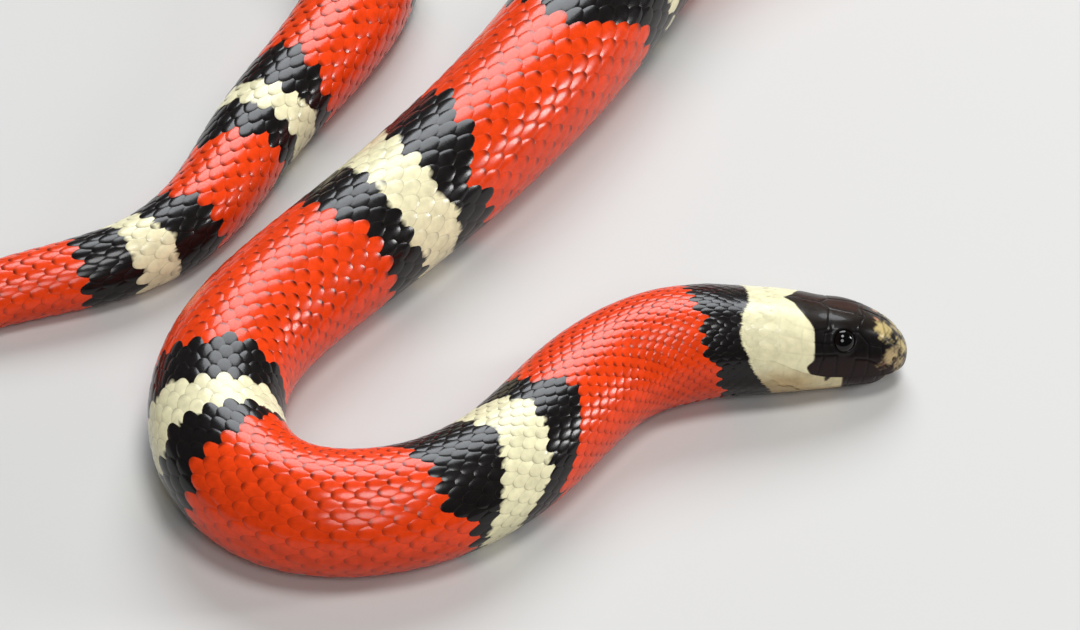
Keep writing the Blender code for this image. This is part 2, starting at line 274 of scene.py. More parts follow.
@dataclass
class Round:
    """The outline of the snake's body at every distance behind the snout.

    Attributes:
        spine: The line that the outline follows.
        half_width: Half width in millimetres.
        height_to_width: Half height as a share of the half width.
        rest_share: How high its middle is, in half heights.
        upper_power: Squareness of the upper half.
        lower_power: Squareness of the lower half.
        snout_round: How long the rounding of the snout is.
        tail_round: How long the rounding of the tail tip is.
        forms: The brows, cheeks and hollows.
        floor_round: How softly the belly turns flat on the floor.
        table_turns: How many angles the outline is measured at.
        table_shares: How many places of each side are kept.
        head_table: How far its close rows reach, and their step.
        body_table: Step of its other rows.
        facing_step: Steps along and round that give its facing.
        side_step: The step that does so on the side of the head.
        least_size: The least half size of the outline.
    """

    spine: Spine
    half_width: Table = (
        (0, 5.0), (4, 5.5), (7, 6.3), (10, 6.9), (13, 7.5), (17, 8.3), (21, 8.8), (25, 9.0),
        (30, 9.2), (36, 9.4), (48, 9.3), (63, 9.3), (83, 9.5), (100, 9.8), (130, 10.2),
        (170, 10.8), (200, 11.4), (240, 12.2), (350, 12.9), (500, 13.3), (640, 12.8),
        (740, 11.3), (820, 9.0), (850, 7.9), (880, 6.7), (920, 5.4), (960, 3.8), (1000, 2.2),
        (1030, 1.0),
    )
    height_to_width: Table = (
        (0, 0.92), (5, 0.94), (10, 0.90), (15, 0.86), (20, 0.84), (25, 0.86), (30, 0.90),
        (36, 0.91), (48, 0.88), (1100, 0.88),
    )
    rest_share: Table = ((0, 0.93), (20, 0.93), (60, 0.88), (1100, 0.88))
    upper_power: Table = ((0, 2.2), (6, 2.5), (12, 2.5), (22, 2.3), (35, 2.0), (1100, 2.0))
    lower_power: Table = ((0, 2.2), (10, 2.5), (30, 2.3), (60, 2.2), (1100, 2.2))
    snout_round: float = 5.0 * MM
    tail_round: float = 1.6 * MM
    forms: tuple[HeadForm, ...] = (
        HeadForm(9.6, 54, 2.5, 0.42), HeadForm(17.0, 4, 4.5, 0.30),
        HeadForm(6.0, 24, 1.9, -0.25), HeadForm(9.8, 30, 2.0, -0.20),
    )
    floor_round: float = 0.25 * MM
    table_turns: int = 241
    table_shares: int = 121
    head_table: Pair = (30 * MM, 0.25 * MM)
    body_table: float = 1.0 * MM
    facing_step: Pair = (0.4 * MM, 0.012)
    side_step: float = 0.3 * MM
    least_size: float = 1e-7

    def __post_init__(self) -> None:
        """Tabulate the outline by its own length round the body."""
        length = self.spine.length
        head, head_step = self.head_table
        near, far = np.arange(0.0, head, head_step), np.arange(head, length, self.body_table)
        self._at = np.concatenate([near, far, [length]])
        turns = np.linspace(math.pi / 2, -math.pi / 2, self.table_turns)
        distance = self._at[:, None] + 0 * turns
        side, up = self.section(distance, turns + 0 * distance)
        arc = np.hypot(np.diff(side, axis=1), np.diff(up, axis=1))
        arc = np.concatenate([np.zeros((len(arc), 1)), np.cumsum(arc, axis=1)], axis=1)
        self._half_girth = arc[:, -1]
        shares = np.linspace(0.0, 1.0, self.table_shares)
        self._outline = np.empty((len(self._at), self.table_shares, 2))
        for i, row in enumerate(arc):
            reach = row / max(row[-1], self.least_size)
            self._outline[i, :, 0] = np.interp(shares, reach, side[i])
            self._outline[i, :, 1] = np.interp(shares, reach, up[i])

    def sizes(self, distance: Array | float) -> tuple[Array, Array]:
        """Give the half width and half height, before the ends are closed."""
        width = smooth_table(self.half_width, distance) * MM
        return width, width * smooth_table(self.height_to_width, distance)

    def axis_height(self, distance: Array | float) -> Array:
        """Give the height of the middle of the round above the floor."""
        return self.sizes(distance)[1] * smooth_table(self.rest_share, distance)

    def closing(self, distance: Array | float) -> Array:
        """Give the share of its full size that the round has near either end."""
        snout = quarter_round(distance, self.snout_round)
        return np.minimum(snout, quarter_round(self.spine.length - distance, self.tail_round))

    def section(self, distance: Array, turn: Array, inset: Array | float = 0.0,
                closing: Array | None = None) -> tuple[Array, Array]:
        """Give points of the outline in the plane square to the spine.

        Args:
            distance: How far behind the snout.
            turn: Angle round the body, from its right side toward its back.
            inset: Metres by which the outline is smaller all the way round.
            closing: Share of the full size, or None to close it as the skull and tail do.

        Returns:
            How far each point is to the right of and above the middle of the round.
        """
        share = self.closing(distance) if closing is None else closing
        width, height = self.sizes(distance)
        half_width = np.maximum(width * share - inset, self.least_size)
        half_height = np.maximum(height * share - inset, self.least_size)
        upper = 2.0 / smooth_table(self.upper_power, distance)
        lower = 2.0 / smooth_table(self.lower_power, distance)
        power = np.where(np.sin(turn) > 0, upper, lower)
        above_side = np.arcsin(np.clip(np.sin(turn), -1.0, 1.0))
        moved = np.zeros_like(half_width)
        for form in self.forms:
            along = distance - form.behind_snout * MM
            around = (above_side - math.radians(form.degrees)) * half_width
            fall = (along ** 2 + around ** 2) / (form.spread * MM) ** 2
            moved = moved + form.height * MM * np.exp(-fall)
        grown = 1.0 + moved / half_width
        side = signed_power(np.cos(turn), power) * half_width * grown
        up = signed_power(np.sin(turn), power) * half_height * grown
        return side, up

    def half_girth(self, distance: Array | float) -> Array:
        """Give the length round one side of the body, from back to belly."""
        return np.interp(distance, self._at, self._half_girth)

    def surface(self, distance: Array, share: Array) -> Array:
        """Give world points of the solids' surface.

        Args:
            distance: How far behind the snout.
            share: How far round the body.

        Returns:
            World points.
        """
        distance = np.clip(distance, 0.0, self.spine.length)
        turned = folded(share)
        i = np.clip(np.searchsorted(self._at, distance, side="right") - 1, 0, len(self._at) - 2)
        t = (distance - self._at[i]) / (self._at[i + 1] - self._at[i])
        column = np.abs(turned) * (self.table_shares - 1)
        j = np.clip(column.astype(int), 0, self.table_shares - 2)
        u = (column - j)[..., None]
        front = self._outline[i, j] * (1 - u) + self._outline[i, j + 1] * u
        back = self._outline[i + 1, j] * (1 - u) + self._outline[i + 1, j + 1] * u
        side, up = np.moveaxis(front * (1 - t[..., None]) + back * t[..., None], -1, 0)
        side = side * np.where(turned < 0, -1.0, 1.0)
        return self.spine.place(distance, side, up, self.axis_height(distance))

    def lifted(self, distance: Array, share: Array, height: Array) -> Array:
        """Give points above or below the surface, kept above the floor.

        Args:
            distance: How far behind the snout.
            share: How far round the body.
            height: Metres outward from the surface.

        Returns:
            World points.
        """
        step, turn = self.facing_step
        along = self.surface(distance + step, share) - self.surface(distance - step, share)
        around = self.surface(distance, share + turn) - self.surface(distance, share - turn)
        outward = unit(np.cross(along, around))
        points = self.surface(distance, share) + outward * np.asarray(height)[..., None]
        return self.rested(points)

    def rested(self, points: Array) -> Array:
        """Press whatever is below the floor softly flat on it.

        Args:
            points: World points, which are changed.

        Returns:
            The same points.
        """
        z = points[..., 2]
        points[..., 2] = 0.5 * (z + np.sqrt(z * z + self.floor_round ** 2))
        return points

    def side_place(self, distance: float, up: float, sign: float) -> tuple[Array, Array]:
        """Give a point on the side of the head and the direction that the skin faces there.

        Args:
            distance: How far behind the snout.
            up: How far above the middle of the round.
            sign: 1 for the snake's right side and -1 for its left.

        Returns:
            The point and the unit direction.
        """
        step = self.side_step
        points = []
        for at, high in ((distance, up), (distance + step, up), (distance, up + step)):
            width, height = (size * self.closing(at) for size in self.sizes(at))
            power = smooth_table(self.upper_power if high > 0 else self.lower_power, at)
            side = width * (1 - abs(high / height) ** power) ** (1 / power) * sign
            points.append(self.spine.place(at, side, high, self.axis_height(at)))
        point, behind, above = points
        facing = unit(np.cross(behind - point, above - point))
        middle = self.spine.place(distance, 0.0, up, self.axis_height(distance))
        return point, facing if facing @ (point - middle) > 0 else -facing


class Hue(Enum):
    """The colours of the scales, as light that they send back."""

    BLACK = (0.0078, 0.0062, 0.0060)
    CROWN = (0.0190, 0.0135, 0.0095)
    LIP = (0.0150, 0.0055, 0.0050)
    RED = (0.83, 0.054, 0.005)
    CREAM = (0.87, 0.81, 0.52)
    YELLOW = (0.62, 0.48, 0.21)
    ROSE = (0.42, 0.20, 0.12)
    # The tan of the snout's mottles and the chin side of the collar; below the collar it is
    # partly painted shade.
    THROAT = (0.58, 0.43, 0.22)

    @property
    def rgb(self) -> Array:
        """The colour as an array."""
        return np.array(self.value)


@dataclass(frozen=True)
class Ring:
    """One ring of the body.

    Attributes:
        hue: Its colour.
        end: Where it ends: pairs of thousandths of the way from back to belly, less than 0 on
            the snake's left, and millimetres behind the snout. Pairs that start at 0 hold for
            both sides.
    """

    hue: Hue
    end: Table

    def ends_at(self, share: Array) -> Array:
        """Give where the ring ends, in metres behind the snout, at each share."""
        return round_table(self.end, np.abs(share) if self.end[0][0] == 0 else share)


@dataclass(frozen=True)
class Patch:
    """One pale or tinted patch of the head, with an uneven edge.

    Attributes:
        behind_snout: Millimetres behind the snout.
        turned: Thousandths of the way from top to chin.
        reach: Half its length and half its width, in millimetres.
        hue: Its colour.
        strength: How much of the colour it has.
    """

    behind_snout: float
    turned: float
    reach: Pair
    hue: Hue
    strength: float = 1.0


# How uneven blotches are mixed: how many waves, how fine they are, and what their sum is
# divided by.
BLOTCH_WAVES = 14
BLOTCH_PACES = (1.4, 4.2)
BLOTCH_SUM = 4.2


def blotches(points: Array, seed: int) -> Array:
    """Give smooth, uneven blotches.

    Args:
        points: Places in space, in blotch sizes.
        seed: Seed of their layout.

    Returns:
        Values from about -1 to 1.
    """
    rng = np.random.default_rng(seed)
    total = np.zeros(points.shape[:-1])
    for _ in range(BLOTCH_WAVES):
        toward = rng.normal(0.0, 1.0, 3)
        toward = toward / np.linalg.norm(toward)
        pace, phase = rng.uniform(*BLOTCH_PACES), rng.uniform(0.0, 2 * math.pi)
        total += np.sin(pace * (points @ toward) + phase)
    return total / BLOTCH_SUM


def tinted(hues: Array, cover: Array, hue: Hue) -> Array:
    """Cover colours with another one, each by its own share."""
    return hues + cover[..., None] * (hue.rgb - hues)


# The rings that the picture shows, from the collar back to where the body leaves it.
FRONT_RINGS: tuple[Ring, ...] = (
    Ring(Hue.CREAM, (
        (0, 24.0), (100, 24.2), (190, 25.2), (240, 25.7), (340, 26.2), (400, 25.7),
        (450, 25.1), (540, 24.3), (580, 23.5), (630, 22.7), (700, 21.4), (1000, 20.5))),
    Ring(Hue.BLACK, (
        (0, 32.2), (100, 32.0), (200, 31.5), (300, 32.5), (400, 32.0), (500, 30.7),
        (580, 30.2), (700, 29.4), (1000, 28.5))),
    Ring(Hue.RED, (
        (-1000, 68), (-500, 64), (-300, 61.5), (-100, 60.5), (0, 59.2), (100, 59.2),
        (200, 60.3), (300, 62), (400, 64.5), (500, 68), (650, 70), (1000, 70))),
    Ring(Hue.BLACK, (
        (-1000, 74), (-500, 71), (-300, 69), (-150, 66.8), (0, 65.5), (100, 66.4),
        (200, 67.8), (300, 69.2), (400, 70.8), (500, 73.5), (600, 75), (1000, 76))),
    Ring(Hue.CREAM, (
        (-1000, 80), (-500, 77), (-300, 75.2), (-100, 74), (0, 73.3), (100, 74),
        (200, 75.8), (300, 77.2), (400, 78.3), (500, 79.6), (650, 80.5), (1000, 80.5))),
    Ring(Hue.BLACK, (
        (-1000, 86), (-500, 87), (-300, 90), (-100, 86), (0, 85), (150, 84.8), (300, 84.4),
        (400, 82.5), (500, 81.8), (1000, 83))),
    Ring(Hue.RED, (
        (-1000, 120), (-500, 118.5), (-300, 117.5), (-100, 115.2), (0, 114.8), (200, 114.8),
        (300, 114.1), (400, 113.8), (1000, 114.5))),
    Ring(Hue.BLACK, (
        (-1000, 121.5), (-500, 120.5), (-300, 119.6), (-150, 121), (0, 120.6), (150, 121.2),
        (250, 121.3), (350, 120), (500, 119.5), (1000, 119.5))),
    Ring(Hue.CREAM, (
        (-1000, 123.5), (-500, 123.5), (-350, 125.4), (-200, 126.8), (0, 126.1), (150, 126.8),
        (300, 127.3), (450, 126.5), (600, 125), (1000, 125))),
    Ring(Hue.BLACK, (
        (-1000, 131), (-500, 131), (-400, 133), (-250, 134.3), (-180, 136), (-100, 134.8),
        (100, 134.2), (350, 134.4), (1000, 133))),
    Ring(Hue.RED, (
        (-1000, 168.5), (-500, 168.3), (-350, 169), (-200, 168), (-100, 166), (0, 166),
        (100, 166.3), (300, 167.2), (1000, 168))),
    Ring(Hue.BLACK, (
        (-1000, 175.5), (-600, 175.5), (-400, 174.5), (-250, 174.2), (-100, 174.5),
        (0, 175.2), (150, 176.8), (300, 177), (1000, 177))),
    Ring(Hue.CREAM, (
        (-1000, 183.5), (-600, 183), (-350, 182.8), (-200, 182.3), (-100, 183.5), (0, 184),
        (100, 185), (300, 187.5), (1000, 187))),
    Ring(Hue.BLACK, (
        (-1000, 190.5), (-500, 190.5), (-320, 189), (-220, 190.5), (-150, 192.5),
        (-80, 193.5), (0, 195.5), (50, 197.3), (150, 198.8), (300, 200), (1000, 196))),
    Ring(Hue.RED, (
        (-1000, 236), (-400, 234), (-300, 232), (-200, 228), (-100, 225.3), (0, 225),
        (200, 226), (500, 230), (1000, 234))),
    Ring(Hue.BLACK, ((-1000, 245), (-400, 243.5), (0, 238), (400, 243), (1000, 245))),
)

# The rings where the tail comes into the picture again.
REAR_RINGS: tuple[Ring, ...] = (
    Ring(Hue.CREAM, ((-1000, 861.5), (0, 860.3), (300, 860.2), (1000, 861.5))),
    Ring(Hue.BLACK, ((-1000, 868), (-300, 869.5), (0, 868), (100, 866.5), (250, 865),
                     (1000, 866))),
    Ring(Hue.RED, ((-1000, 885), (-100, 884), (0, 883), (200, 882), (1000, 883))),
    Ring(Hue.BLACK, ((-1000, 890.5), (-150, 890.5), (0, 889.6), (1000, 889.5))),
    Ring(Hue.CREAM, ((-1000, 896.5), (-200, 896.5), (0, 895.5), (1000, 895.3))),
    Ring(Hue.BLACK, ((-1000, 902.5), (0, 902.5), (1000, 902.5))),
)

# The rings of one set on the middle of the body and on the tail, with their usual widths in
# millimetres.
RingSet = tuple[tuple[Hue, float], ...]
MIDDLE_SET: RingSet = (
    (Hue.CREAM, 9.0), (Hue.BLACK, 9.0), (Hue.RED, 29.0), (Hue.BLACK, 9.5),
)
TAIL_SET: RingSet = (
    (Hue.RED, 15.0), (Hue.BLACK, 6.0), (Hue.CREAM, 5.5), (Hue.BLACK, 5.5),
)

# How the edge of such a ring runs: thousandths of the way round, and how many times the
# ring's swell and the edge's lean it lies further back there.
EDGE_SHAPE: tuple[Triple, ...] = (
    (-1000, -1.2, -1.0), (-450, -1.0, -1.0), (-130, 0.7, -0.3), (130, 0.7, 0.3),
    (450, -1.0, 1.0), (1000, -1.2, 1.0),
)


@dataclass(frozen=True)
class RingRun:
    """Sets of rings between two places, where the picture shows none.

    Attributes:
        kinds: The rings of one set with their usual widths.
        sets: How many sets there are.
        start: Where the first ring starts, in millimetres.
        end: Where the last ring ends, in millimetres.
        narrowing: Share of the usual width at the last ring.
        spread: Least and greatest such share by chance.
        swell: How far a black ring swells on the back, in widths.
        lean: How far an edge leans at most, in millimetres.
    """

    kinds: RingSet
    sets: int
    start: float
    end: float
    narrowing: float = 0.78
    spread: Pair = (0.86, 1.14)
    swell: float = 0.16
    lean: float = 1.5

    def rings(self, rng: np.random.Generator) -> list[Ring]:
        """Lay the rings out.

        Args:
            rng: Where the draws come from.

        Returns:
            The rings in their order.
        """
        row = self.kinds * self.sets
        widths = np.array([width for _, width in row])
        widths = widths * np.linspace(1.0, self.narrowing, len(row))
        widths = widths * rng.uniform(*self.spread, len(row))
        ends = self.start + np.cumsum(widths) * (self.end - self.start) / widths.sum()
        rings = []
        for number, (hue, _) in enumerate(row):
            following = row[(number + 1) % len(row)][0]
            swell = 0.0
            if hue is Hue.RED:
                swell = -self.swell * widths[number - 1]
            elif following is Hue.RED:
                swell = self.swell * widths[number]
            lean = rng.uniform(-self.lean, self.lean)
            rings.append(Ring(hue, tuple(
                (turned, ends[number] + swells * swell + leans * lean)
                for turned, swells, leans in EDGE_SHAPE)))
        return rings


@dataclass
class Markings:
    """The rings of the body and the colours of the head.

    Attributes:
        seed: Seed of the draws.
        middle: The rings of the middle of the body.
        tail: Those of the tail's end.
        cap_end: Where the black cap ends, by thousandths of the way round.
        spur_side: How far to the right it reaches furthest back.
        cap_edge: How it ends, by the distance past its end.
        jaw_black_top: Height where the lower lip's own black starts.
        jaw_black_end: Where that black ends.
        throat: How the collar turns tan toward the chin, by share: partly its own colour,
            partly painted shade.
        lip_top: How the pale lower lip starts, by height.
        lip_foot: How it ends, by height.
        lip_fade: How it ends toward the throat, by distance.
        lips: How the black turns into that of the lips, by share.
        crown: How the brown of the crown ends, by share.
        blotch_sizes: Coarse and fine blotches in a millimetre.
        fine_strength: Strength of the fine ones.
        patch_size: How large a patch's soft outline is, in sizes.
        patch_wander: How far the blotches move it.
        patch_cover: How a patch covers the skin, by how far inside it is.
        patches: The mottling of the snout.
        freckles: Distance and share of the freckles' middle.
        freckle_reach: How far they spread along and round.
        freckle_strength: How dark they are.
        tips: Least and greatest darkness of the scales' tips.
        tip_start: How they start behind the collar, by distance.
        tip_side: How they weaken on the right side, by share.
        darkest: The most that a tip is darkened.
    """

    seed: int = 11
    middle: RingRun = RingRun(MIDDLE_SET, 11, 238.0, 855.0)
    tail: RingRun = RingRun(TAIL_SET, 4, 902.5, 1027.5)
    cap_end: Table = (
        (0, 18.7), (30, 18.0), (60, 17.3), (100, 16.9), (170, 15.9), (220, 15.1), (270, 14.6),
        (350, 14.6), (440, 14.7), (490, 15.8), (520, 15.5), (560, 14.9), (1000, 14.9),
    )
    spur_side: float = 0.015
    cap_edge: Ease = Ease(-0.10 * MM, 0.10 * MM, 1.0, 0.0)
    jaw_black_top: float = 1.045
    jaw_black_end: float = 10.2 * MM
    throat: Ease = Ease(0.50, 0.66)
    lip_top: Ease = Ease(1.06, 1.10, 0.0, 0.55)
    lip_foot: Ease = Ease(1.34, 1.42, 1.0, 0.0)
    lip_fade: Ease = Ease(13.0 * MM, 17.5 * MM, 1.0, 0.0)
    lips: Ease = Ease(0.40, 0.52)
    crown: Ease = Ease(0.10, 0.30, 1.0, 0.0)
    blotch_sizes: Pair = (1.3, 3.4)
    fine_strength: float = 0.6
    patch_size: float = 1.1
    patch_wander: float = 0.28
    patch_cover: Ease = Ease(-0.1, 0.8)
    patches: tuple[Patch, ...] = (
        Patch(5.0, 80, (0.50, 0.50), Hue.ROSE, 0.9),
        Patch(3.7, 195, (1.6, 1.8), Hue.YELLOW, 0.95),
        Patch(2.0, 60, (1.0, 0.9), Hue.YELLOW, 0.6),
        Patch(0.9, 300, (1.0, 1.3), Hue.YELLOW, 0.85),
        Patch(2.8, 490, (1.8, 1.5), Hue.THROAT, 0.75),
        Patch(3.9, 530, (0.5, 0.6), Hue.ROSE, 0.6),
        Patch(1.4, 640, (1.1, 0.8), Hue.THROAT, 0.7),
        Patch(2.6, 820, (1.6, 1.2), Hue.THROAT, 0.6),
        Patch(12.2, 620, (0.45, 0.60), Hue.LIP, 0.95),
        Patch(12.7, 645, (0.45, 0.60), Hue.LIP, 0.95),
    )
    freckles: Pair = (145.0 * MM, -0.31)
    freckle_reach: Pair = (9.0 * MM, 0.12)
    freckle_strength: float = 1.2
    tips: Pair = (0.40, 0.85)
    tip_start: Ease = Ease(22.0 * MM, 30.0 * MM)
    tip_side: Ease = Ease(0.10, 0.40, 1.0, 0.5)
    darkest: float = 0.98

    def __post_init__(self) -> None:
        """Put the rings in a row, from the collar to the tip of the tail."""
        rng = np.random.default_rng(self.seed)
        self.rings = [
            *FRONT_RINGS, *self.middle.rings(rng), *REAR_RINGS, *self.tail.rings(rng)]
        self._hues = np.array([ring.hue.rgb for ring in self.rings])

    def ring_hues(self, distance: Array, share: Array) -> Array:
        """Give the colour of the ring at each place.

        Args:
            distance: How far behind the snout.
            share: How far round the body.

        Returns:
            Linear colours.
        """
        index = np.zeros(distance.shape, dtype=int)
        for ring in self.rings[:-1]:
            index += distance > ring.ends_at(share)
        return self._hues[index]

    def cap_reach(self, share: Array) -> Array:
        """Give where the black cap ends, in metres behind the snout."""
        return round_table(self.cap_end, np.abs(share - self.spur_side))

    def dark_reach(self, share: Array, height: Array) -> Array:
        """Give where the black of the cap and, at some heights, of the lower lip ends."""
        return np.where(height > self.jaw_black_top, self.jaw_black_end, self.cap_reach(share))

    def scale_hues(self, distance: Array, share: Array) -> Array:
        """Give the colour of the scale at each place, head and throat among them.

        Args:
            distance: How far behind the snout.
            share: How far round the body.

        Returns:
            Linear colours.
        """
        collar = distance < self.rings[0].ends_at(share)
        # Toward the chin the collar turns tan: partly its own colour, partly painted shade.
        tan = self.throat.at(np.abs(share)) * collar
        hues = tinted(self.ring_hues(distance, share), tan, Hue.THROAT)
        cap = (distance < self.cap_reach(share)) & (np.abs(share) < self.throat.end)
        hues[cap] = Hue.BLACK.rgb
        return hues

    def head_hues(self, distance: Array, share: Array, height: Array, girth: Array,
                  points: Array) -> Array:
        """Give the colour of the head's skin.

        Args:
            distance: How far behind the snout.
            share: How far round the head.
            height: Height on the head.
            girth: Length of the skin from the top of the head to the chin.
            points: World points of the skin.

        Returns:
            Linear colours.
        """
        turned = np.abs(share)
        # Toward the chin the collar turns tan: partly its own colour, partly painted shade.
        pale = tinted(self.ring_hues(distance, share), self.throat.at(turned), Hue.THROAT)
        lip = self.lip_top.at(height) * self.lip_foot.at(height) * self.lip_fade.at(distance)
        pale = tinted(pale, lip, Hue.CREAM)
        dark = tinted(Hue.BLACK.rgb, self.lips.at(turned), Hue.LIP)
        dark = tinted(dark, self.crown.at(turned), Hue.CROWN)
        cap = self.cap_edge.at(distance - self.dark_reach(share, height))
        hues = pale + cap[..., None] * (dark - pale)
        coarse, fine = self.blotch_sizes
        uneven = blotches(points / MM * coarse, self.seed)
        uneven = uneven + self.fine_strength * blotches(points / MM * fine, self.seed + 1)
        for patch in self.patches:
            along = (distance / MM - patch.behind_snout) / patch.reach[0]
            around = (turned - patch.turned / 1000) * girth / MM / patch.reach[1]
            inside = self.patch_size - np.hypot(along, around) + self.patch_wander * uneven
            hues = tinted(hues, patch.strength * self.patch_cover.at(inside), patch.hue)
        return hues

    def tip_strength(self, distance: Array, share: Array, draw: Array) -> Array:
        """Say how dark the tip of each scale is.

        Args:
            distance: How far behind the snout.
            share: How far round the body.
            draw: Random numbers from 0 to 1.

        Returns:
            The share of the light that the tip doesn't send back.
        """
        (at, turned), (length, breadth) = self.freckles, self.freckle_reach
        near = hill(distance - at, length) * hill(share - turned, breadth)
        tip = np.interp(draw, (0.0, 1.0), self.tips) * self.tip_side.at(share)
        dark = np.clip(tip + self.freckle_strength * near, 0.0, self.darkest)
        return dark * self.tip_start.at(distance)


@dataclass
class HeadPlan:
    """The seams between the shields of the head.

    Every place is a distance in millimetres and a height on the head: 0 on the middle of
    the top, 1 on the line of the mouth and 2 on the middle of the chin. The plan is for
    one side and the other mirrors it.

    Attributes:
        upper: Seams of the top and sides.
        labials: Start, height and end of the upper lip's seams.
        lower: Seams of the lower lip and chin.
        lower_lip: Starts of the lower lip's seams.
        lip_heights: Between which heights those seams run.
        lip_lean: How far back each of them leans.
        depth: How deep the seams are.
        width: Half width of a seam.
    """

    upper: tuple[Table, ...] = (
        ((1.6, 0), (1.3, 0.25), (1.2, 0.45), (1.6, 0.62), (1.9, 0.85), (2.0, 1.0)),
        ((1.6, 0), (4.2, 0), (7.3, 0)),
        ((4.2, 0), (3.9, 0.22), (3.6, 0.42), (2.6, 0.47), (1.2, 0.45)),
        ((7.3, 0), (6.9, 0.19), (7.6, 0.34), (7.9, 0.44)),
        ((3.6, 0.42), (4.2, 0.56), (6.2, 0.57), (7.9, 0.44), (9.8, 0.475), (11.8, 0.47)),
        ((6.9, 0.19), (9.5, 0.165), (12.0, 0.14), (13.2, 0)),
        ((12.0, 0.14), (12.2, 0.3), (11.8, 0.47), (13.0, 0.5)),
        ((13.2, 0), (20.2, 0)),
        ((12.2, 0.3), (12.6, 0.45), (14.5, 0.5), (17.5, 0.5), (19.6, 0.42), (20.4, 0.2),
         (20.2, 0)),
        ((4.2, 0.56), (4.1, 0.70), (4.0, 0.83)),
        ((2.3, 0.48), (2.3, 0.62)),
        ((2.4, 0.78), (2.5, 0.84)),
        ((1.9, 0.85), (2.5, 0.84), (4.0, 0.83), (5.2, 0.79), (6.3, 0.76), (8.3, 0.76)),
        ((6.2, 0.57), (6.3, 0.76)),
        ((13.0, 0.5), (13.3, 0.62), (13.2, 0.74)),
        ((11.5, 0.60), (13.3, 0.62), (16.7, 0.64), (19.9, 0.66)),
        ((11.2, 0.72), (13.2, 0.74), (16.5, 0.80), (19.9, 0.85)),
        ((16.3, 0.5), (16.7, 0.64), (16.5, 0.80)),
        ((19.6, 0.42), (20.2, 0.66), (19.9, 0.85)),
    )
    labials: tuple[Triple, ...] = (
        (4.0, 0.83, 4.3), (6.3, 0.76, 6.7), (8.3, 0.76, 9.0), (11.2, 0.72, 11.3),
        (13.2, 0.74, 14.2), (16.5, 0.80, 17.6), (19.9, 0.85, 20.8),
    )
    lower: tuple[Table, ...] = (
        ((1.9, 1.5), (2.9, 1.7), (3.2, 2.0)),
        ((2.9, 1.7), (4.4, 1.40), (9.0, 1.37), (12.0, 1.35), (15.0, 1.33), (18.0, 1.30),
         (21.0, 1.24)),
        ((3.2, 2.0), (13.8, 2.0)),
        ((9.0, 1.37), (9.5, 1.65), (9.9, 2.0)),
        ((9.3, 1.52), (12.0, 1.72), (13.8, 2.0)),
        ((9.2, 1.45), (12.6, 1.55), (15.4, 1.75), (16.2, 2.0)),
    )
    lower_lip: tuple[float, ...] = (2.7, 4.7, 6.9, 9.1, 11.5, 14.1, 16.8, 19.3)
    lip_heights: Pair = (1.08, 1.38)
    lip_lean: float = 0.5
    depth: float = 0.085 * MM
    width: float = 0.14 * MM

    def seams(self) -> list[Table]:
        """List every seam of one side, as lines of places on the head."""
        top, foot = self.lip_heights
        above = [((start, height), (end, 1.0)) for start, height, end in self.labials]
        below = [((start, top), (start + self.lip_lean, foot)) for start in self.lower_lip]
        return [*self.upper, *self.lower, *above, *below]

    def nearness(self, distance: Array, height: Array, upper_length: Array,
                 lower_length: Array) -> Array:
        """Say how close each place is to its nearest seam.

        Args:
            distance: How far behind the snout.
            height: Height on the head.
            upper_length: Length round the head from its top to the line of the mouth.
            lower_length: Length round the head from there to the middle of the chin.

        Returns:
            1 on a seam, falling to 0 beside it.
        """
        metre = np.where(height < 1.0, upper_length, lower_length)
        nearest = np.full(distance.shape, 1.0)
        for line in self.seams():
            for (s0, q0), (s1, q1) in zip(line, line[1:]):
                along, around = (s1 - s0) * MM, (q1 - q0) * metre
                to_s = distance - s0 * MM
                to_q = (height - q0) * metre
                length = along * along + around * around
                t = np.clip((to_s * along + to_q * around) / length, 0.0, 1.0)
                away = np.hypot(to_s - t * along, to_q - t * around)
                np.minimum(nearest, away, out=nearest)
        return hill(nearest, self.width)


